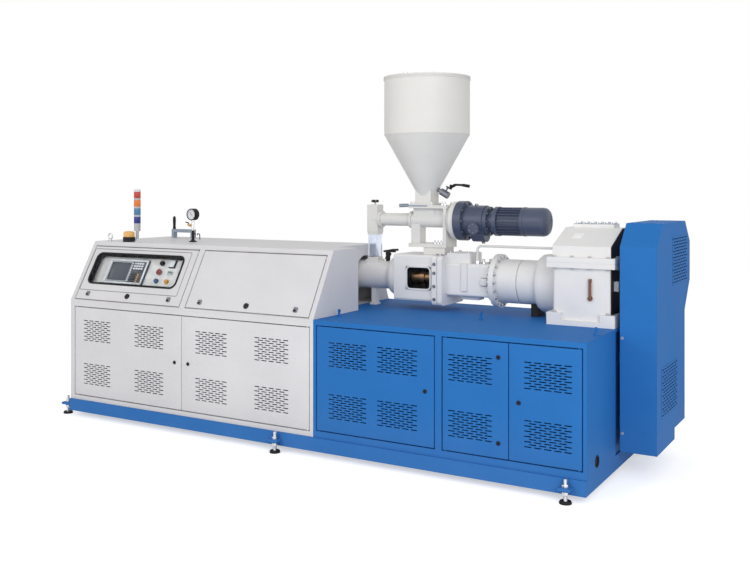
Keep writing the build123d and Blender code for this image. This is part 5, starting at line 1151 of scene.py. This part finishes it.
minor = np.arange(EYE_SIDES) * 2 * np.pi / EYE_SIDES
eye_reach = EYE_R + EYE_BAR * np.cos(minor)
eye = [eye_reach * np.cos(major), EYE_BAR * np.sin(minor) + 0 * major, eye_reach * np.sin(major) + EYE_UP]
eye = np.stack(eye, axis=-1).reshape(-1, 3) + eye_at
eye_foot = turned([(0, 0), (0, 0.017), (0.006, 0.017), (0.008, 0.010), (0.014, 0.008), (0.014, 0)])
eyebolt = joined((eye, grid_faces(EYE_ROWS, EYE_SIDES, ring=True)), placed(eye_foot, [eye_at], UP))
piece("roof_eyebolts", eyebolt, zinc_plate)

# Feet: rubber pads, threaded studs and lock nuts

feet, plinth = extent("levelling_feet"), extent("plinth")
FOOT_R, FOOT_IN, STUD_LOW, NUT_ZS = 0.030, 0.045, 0.014, (0.086, 0.0455)
side_xs, side_ys = (plinth.left + 1.894, plinth.right - 0.104), (feet.front + FOOT_R, feet.back - FOOT_R)
feet_at = [(x, y) for x in side_xs for y in side_ys]
feet_at += [(feet.left + FOOT_R, y) for y in (plinth.front + FOOT_IN, plinth.back - FOOT_IN)]
rubber = [(0, 0), (0, 0.0335), (0.006, 0.0345), (0.011, 0.0325), (0.0155, 0.0305), (0.0155, 0)]
spun("foot_pads", rubber, [(x, y, 0) for x, y in feet_at], UP, black_rubber, 32)
THREAD, THREAD_STEP, THREAD_R, THREAD_DEPTH = np.arange(79), 0.0015, 0.0103, 0.0008
stud_end = THREAD_STEP * THREAD[-1] + 0.001
foot_stud = [(0, 0)] + [(THREAD_STEP * k, THREAD_R + THREAD_DEPTH * (k % 2)) for k in THREAD]
foot_stud += [(stud_end, 0.0088), (stud_end, 0)]
spun("foot_studs", foot_stud, [(x, y, STUD_LOW) for x, y in feet_at], UP, zinc_plate, 12)
foot_nut = [(0, 0.0), (0, 0.019), (0.014, 0.019), (0.016, 0.0165), (0.016, 0)]
spun("foot_nuts", foot_nut, [(x, y, z) for x, y in feet_at for z in NUT_ZS], UP, zinc_plate, 18, hexed=(1, 2))

# Rear cover sheets on the bed, with their screws

bed = extent("machine_bed")
REAR_TALL, REAR_Z, REAR_RISE, REAR_GAP, REAR_CORNER = 0.660, 0.485, 0.004, 0.020, 0.008
SCREW_EDGE, SCREWS, SCREW_ZS = 0.03, 4, (0.180, 0.790)
sheets = {
    "white": (white_enamel, bed.left + 0.0325, (0.985, 0.935)),
    "blue": (blue_enamel, bed.right - 1.8705, (0.905, 0.905)),
}
for colour, (paint, start, (first, second)) in sheets.items():
    spans = [(start, start + first), (start + first + REAR_GAP, start + first + REAR_GAP + second)]
    plates = [
        pad((x1 - x0, REAR_TALL, REAR_CORNER), soft_plate(REAR_RISE, 0.002), facing_back(bed.back),
            (-(x0 + x1) / 2, REAR_Z))
        for x0, x1 in spans
    ]
    piece(f"rear_sheets_{colour}", joined(*plates), paint)
    screw_xs = [x for x0, x1 in spans for x in np.linspace(x0 + SCREW_EDGE, x1 - SCREW_EDGE, SCREWS)]
    spots = [(x, bed.back + REAR_RISE, z) for x in screw_xs for z in SCREW_ZS]
    piece(f"rear_screws_{colour}", placed(pan_screw(0.007), spots, BACK), zinc_plate)

# Stage

scene = bpy.context.scene
FLOOR_HALF, FLOOR_LINES, FLOOR_LIFT, SKY_LIGHT = 14, 3, 0.52, 0.56


def floor_sheet():
    """A flat square: two parameters run over the floor, at height zero."""
    line = np.linspace(-FLOOR_HALF, FLOOR_HALF, FLOOR_LINES)
    u, v = np.meshgrid(line, line)
    points = np.stack([u, v, np.zeros_like(u)], axis=-1).reshape(-1, 3)
    mesh = bpy.data.meshes.new("floor")
    mesh.from_pydata(points.tolist(), [], grid_faces(FLOOR_LINES, FLOOR_LINES).tolist())
    return bpy.data.objects.new("floor", mesh)


def seen_directly(tree):
    """One for what the camera sees itself, in a reflection or through a pane, and zero for other light."""
    rays = add(tree, "ShaderNodeLightPath").outputs
    seen = maths(tree, "MAXIMUM", rays["Is Camera Ray"], rays["Is Glossy Ray"])
    return maths(tree, "MAXIMUM", seen, rays["Is Transmission Ray"])


floor = floor_sheet()
scene.collection.objects.link(floor)
concrete = bpy.data.materials.new("pale_floor")
tree = empty_tree(concrete)
mottle = noise_of(tree, made(tree, "ShaderNodeTexCoord", "Object"), 3.0, 5.0)
pale = shaded(tree, (1.0, 1.0, 1.0), mottle, 0.86, 0.9)
surface = made(
    tree, "ShaderNodeBsdfPrincipled", "BSDF", Base_Color=pale, Roughness=0.9, Specular_IOR_Level=0.1,
    Emission_Color=WHITE, Emission_Strength=maths(tree, "MULTIPLY", seen_directly(tree), FLOOR_LIFT),
)
add(tree, "ShaderNodeOutputMaterial", Surface=surface)
floor.data.materials.append(concrete)

scene.world = bpy.data.worlds.new("studio")
tree = empty_tree(scene.world)
strength = mapped(tree, seen_directly(tree), 0.0, 1.0, SKY_LIGHT, 1.0)
sky = made(tree, "ShaderNodeBackground", "Background", Color=WHITE, Strength=strength)
add(tree, "ShaderNodeOutputWorld", Surface=sky)


def lamp(name, place, aim, size, power):
    """A square soft box that looks from its place at a point."""
    light = bpy.data.lights.new(name, "AREA")
    light.shape = "SQUARE"
    light.size = size
    light.energy = power
    holder = bpy.data.objects.new(name, light)
    way = np.array(aim, float) - np.array(place, float)
    level = math.hypot(way[0], way[1])
    holder.location = place
    holder.rotation_euler = (math.atan2(level, -way[2]), 0.0, math.atan2(-way[0], way[1]))
    scene.collection.objects.link(holder)


lamp("key_box", (-2.2, -7.0, 4.0), (0.0, 0.0, 0.9), 4.0, 130.0)
lamp("fill_box", (5.2, -5.0, 3.0), (0.4, 0.0, 0.9), 4.0, 180.0)

view = bpy.data.cameras.new("photo_view")
view.sensor_fit = "HORIZONTAL"
view.sensor_width = 36.0
view.lens = 44.74
view.shift_y = -0.131
camera = bpy.data.objects.new("photo_view", view)
camera.location = (3.4031, -5.4974, 1.6696)
camera.rotation_euler = (math.radians(90.0), 0.0, math.radians(30.3))
scene.collection.objects.link(camera)
scene.camera = camera
scene.view_settings.view_transform = "Standard"
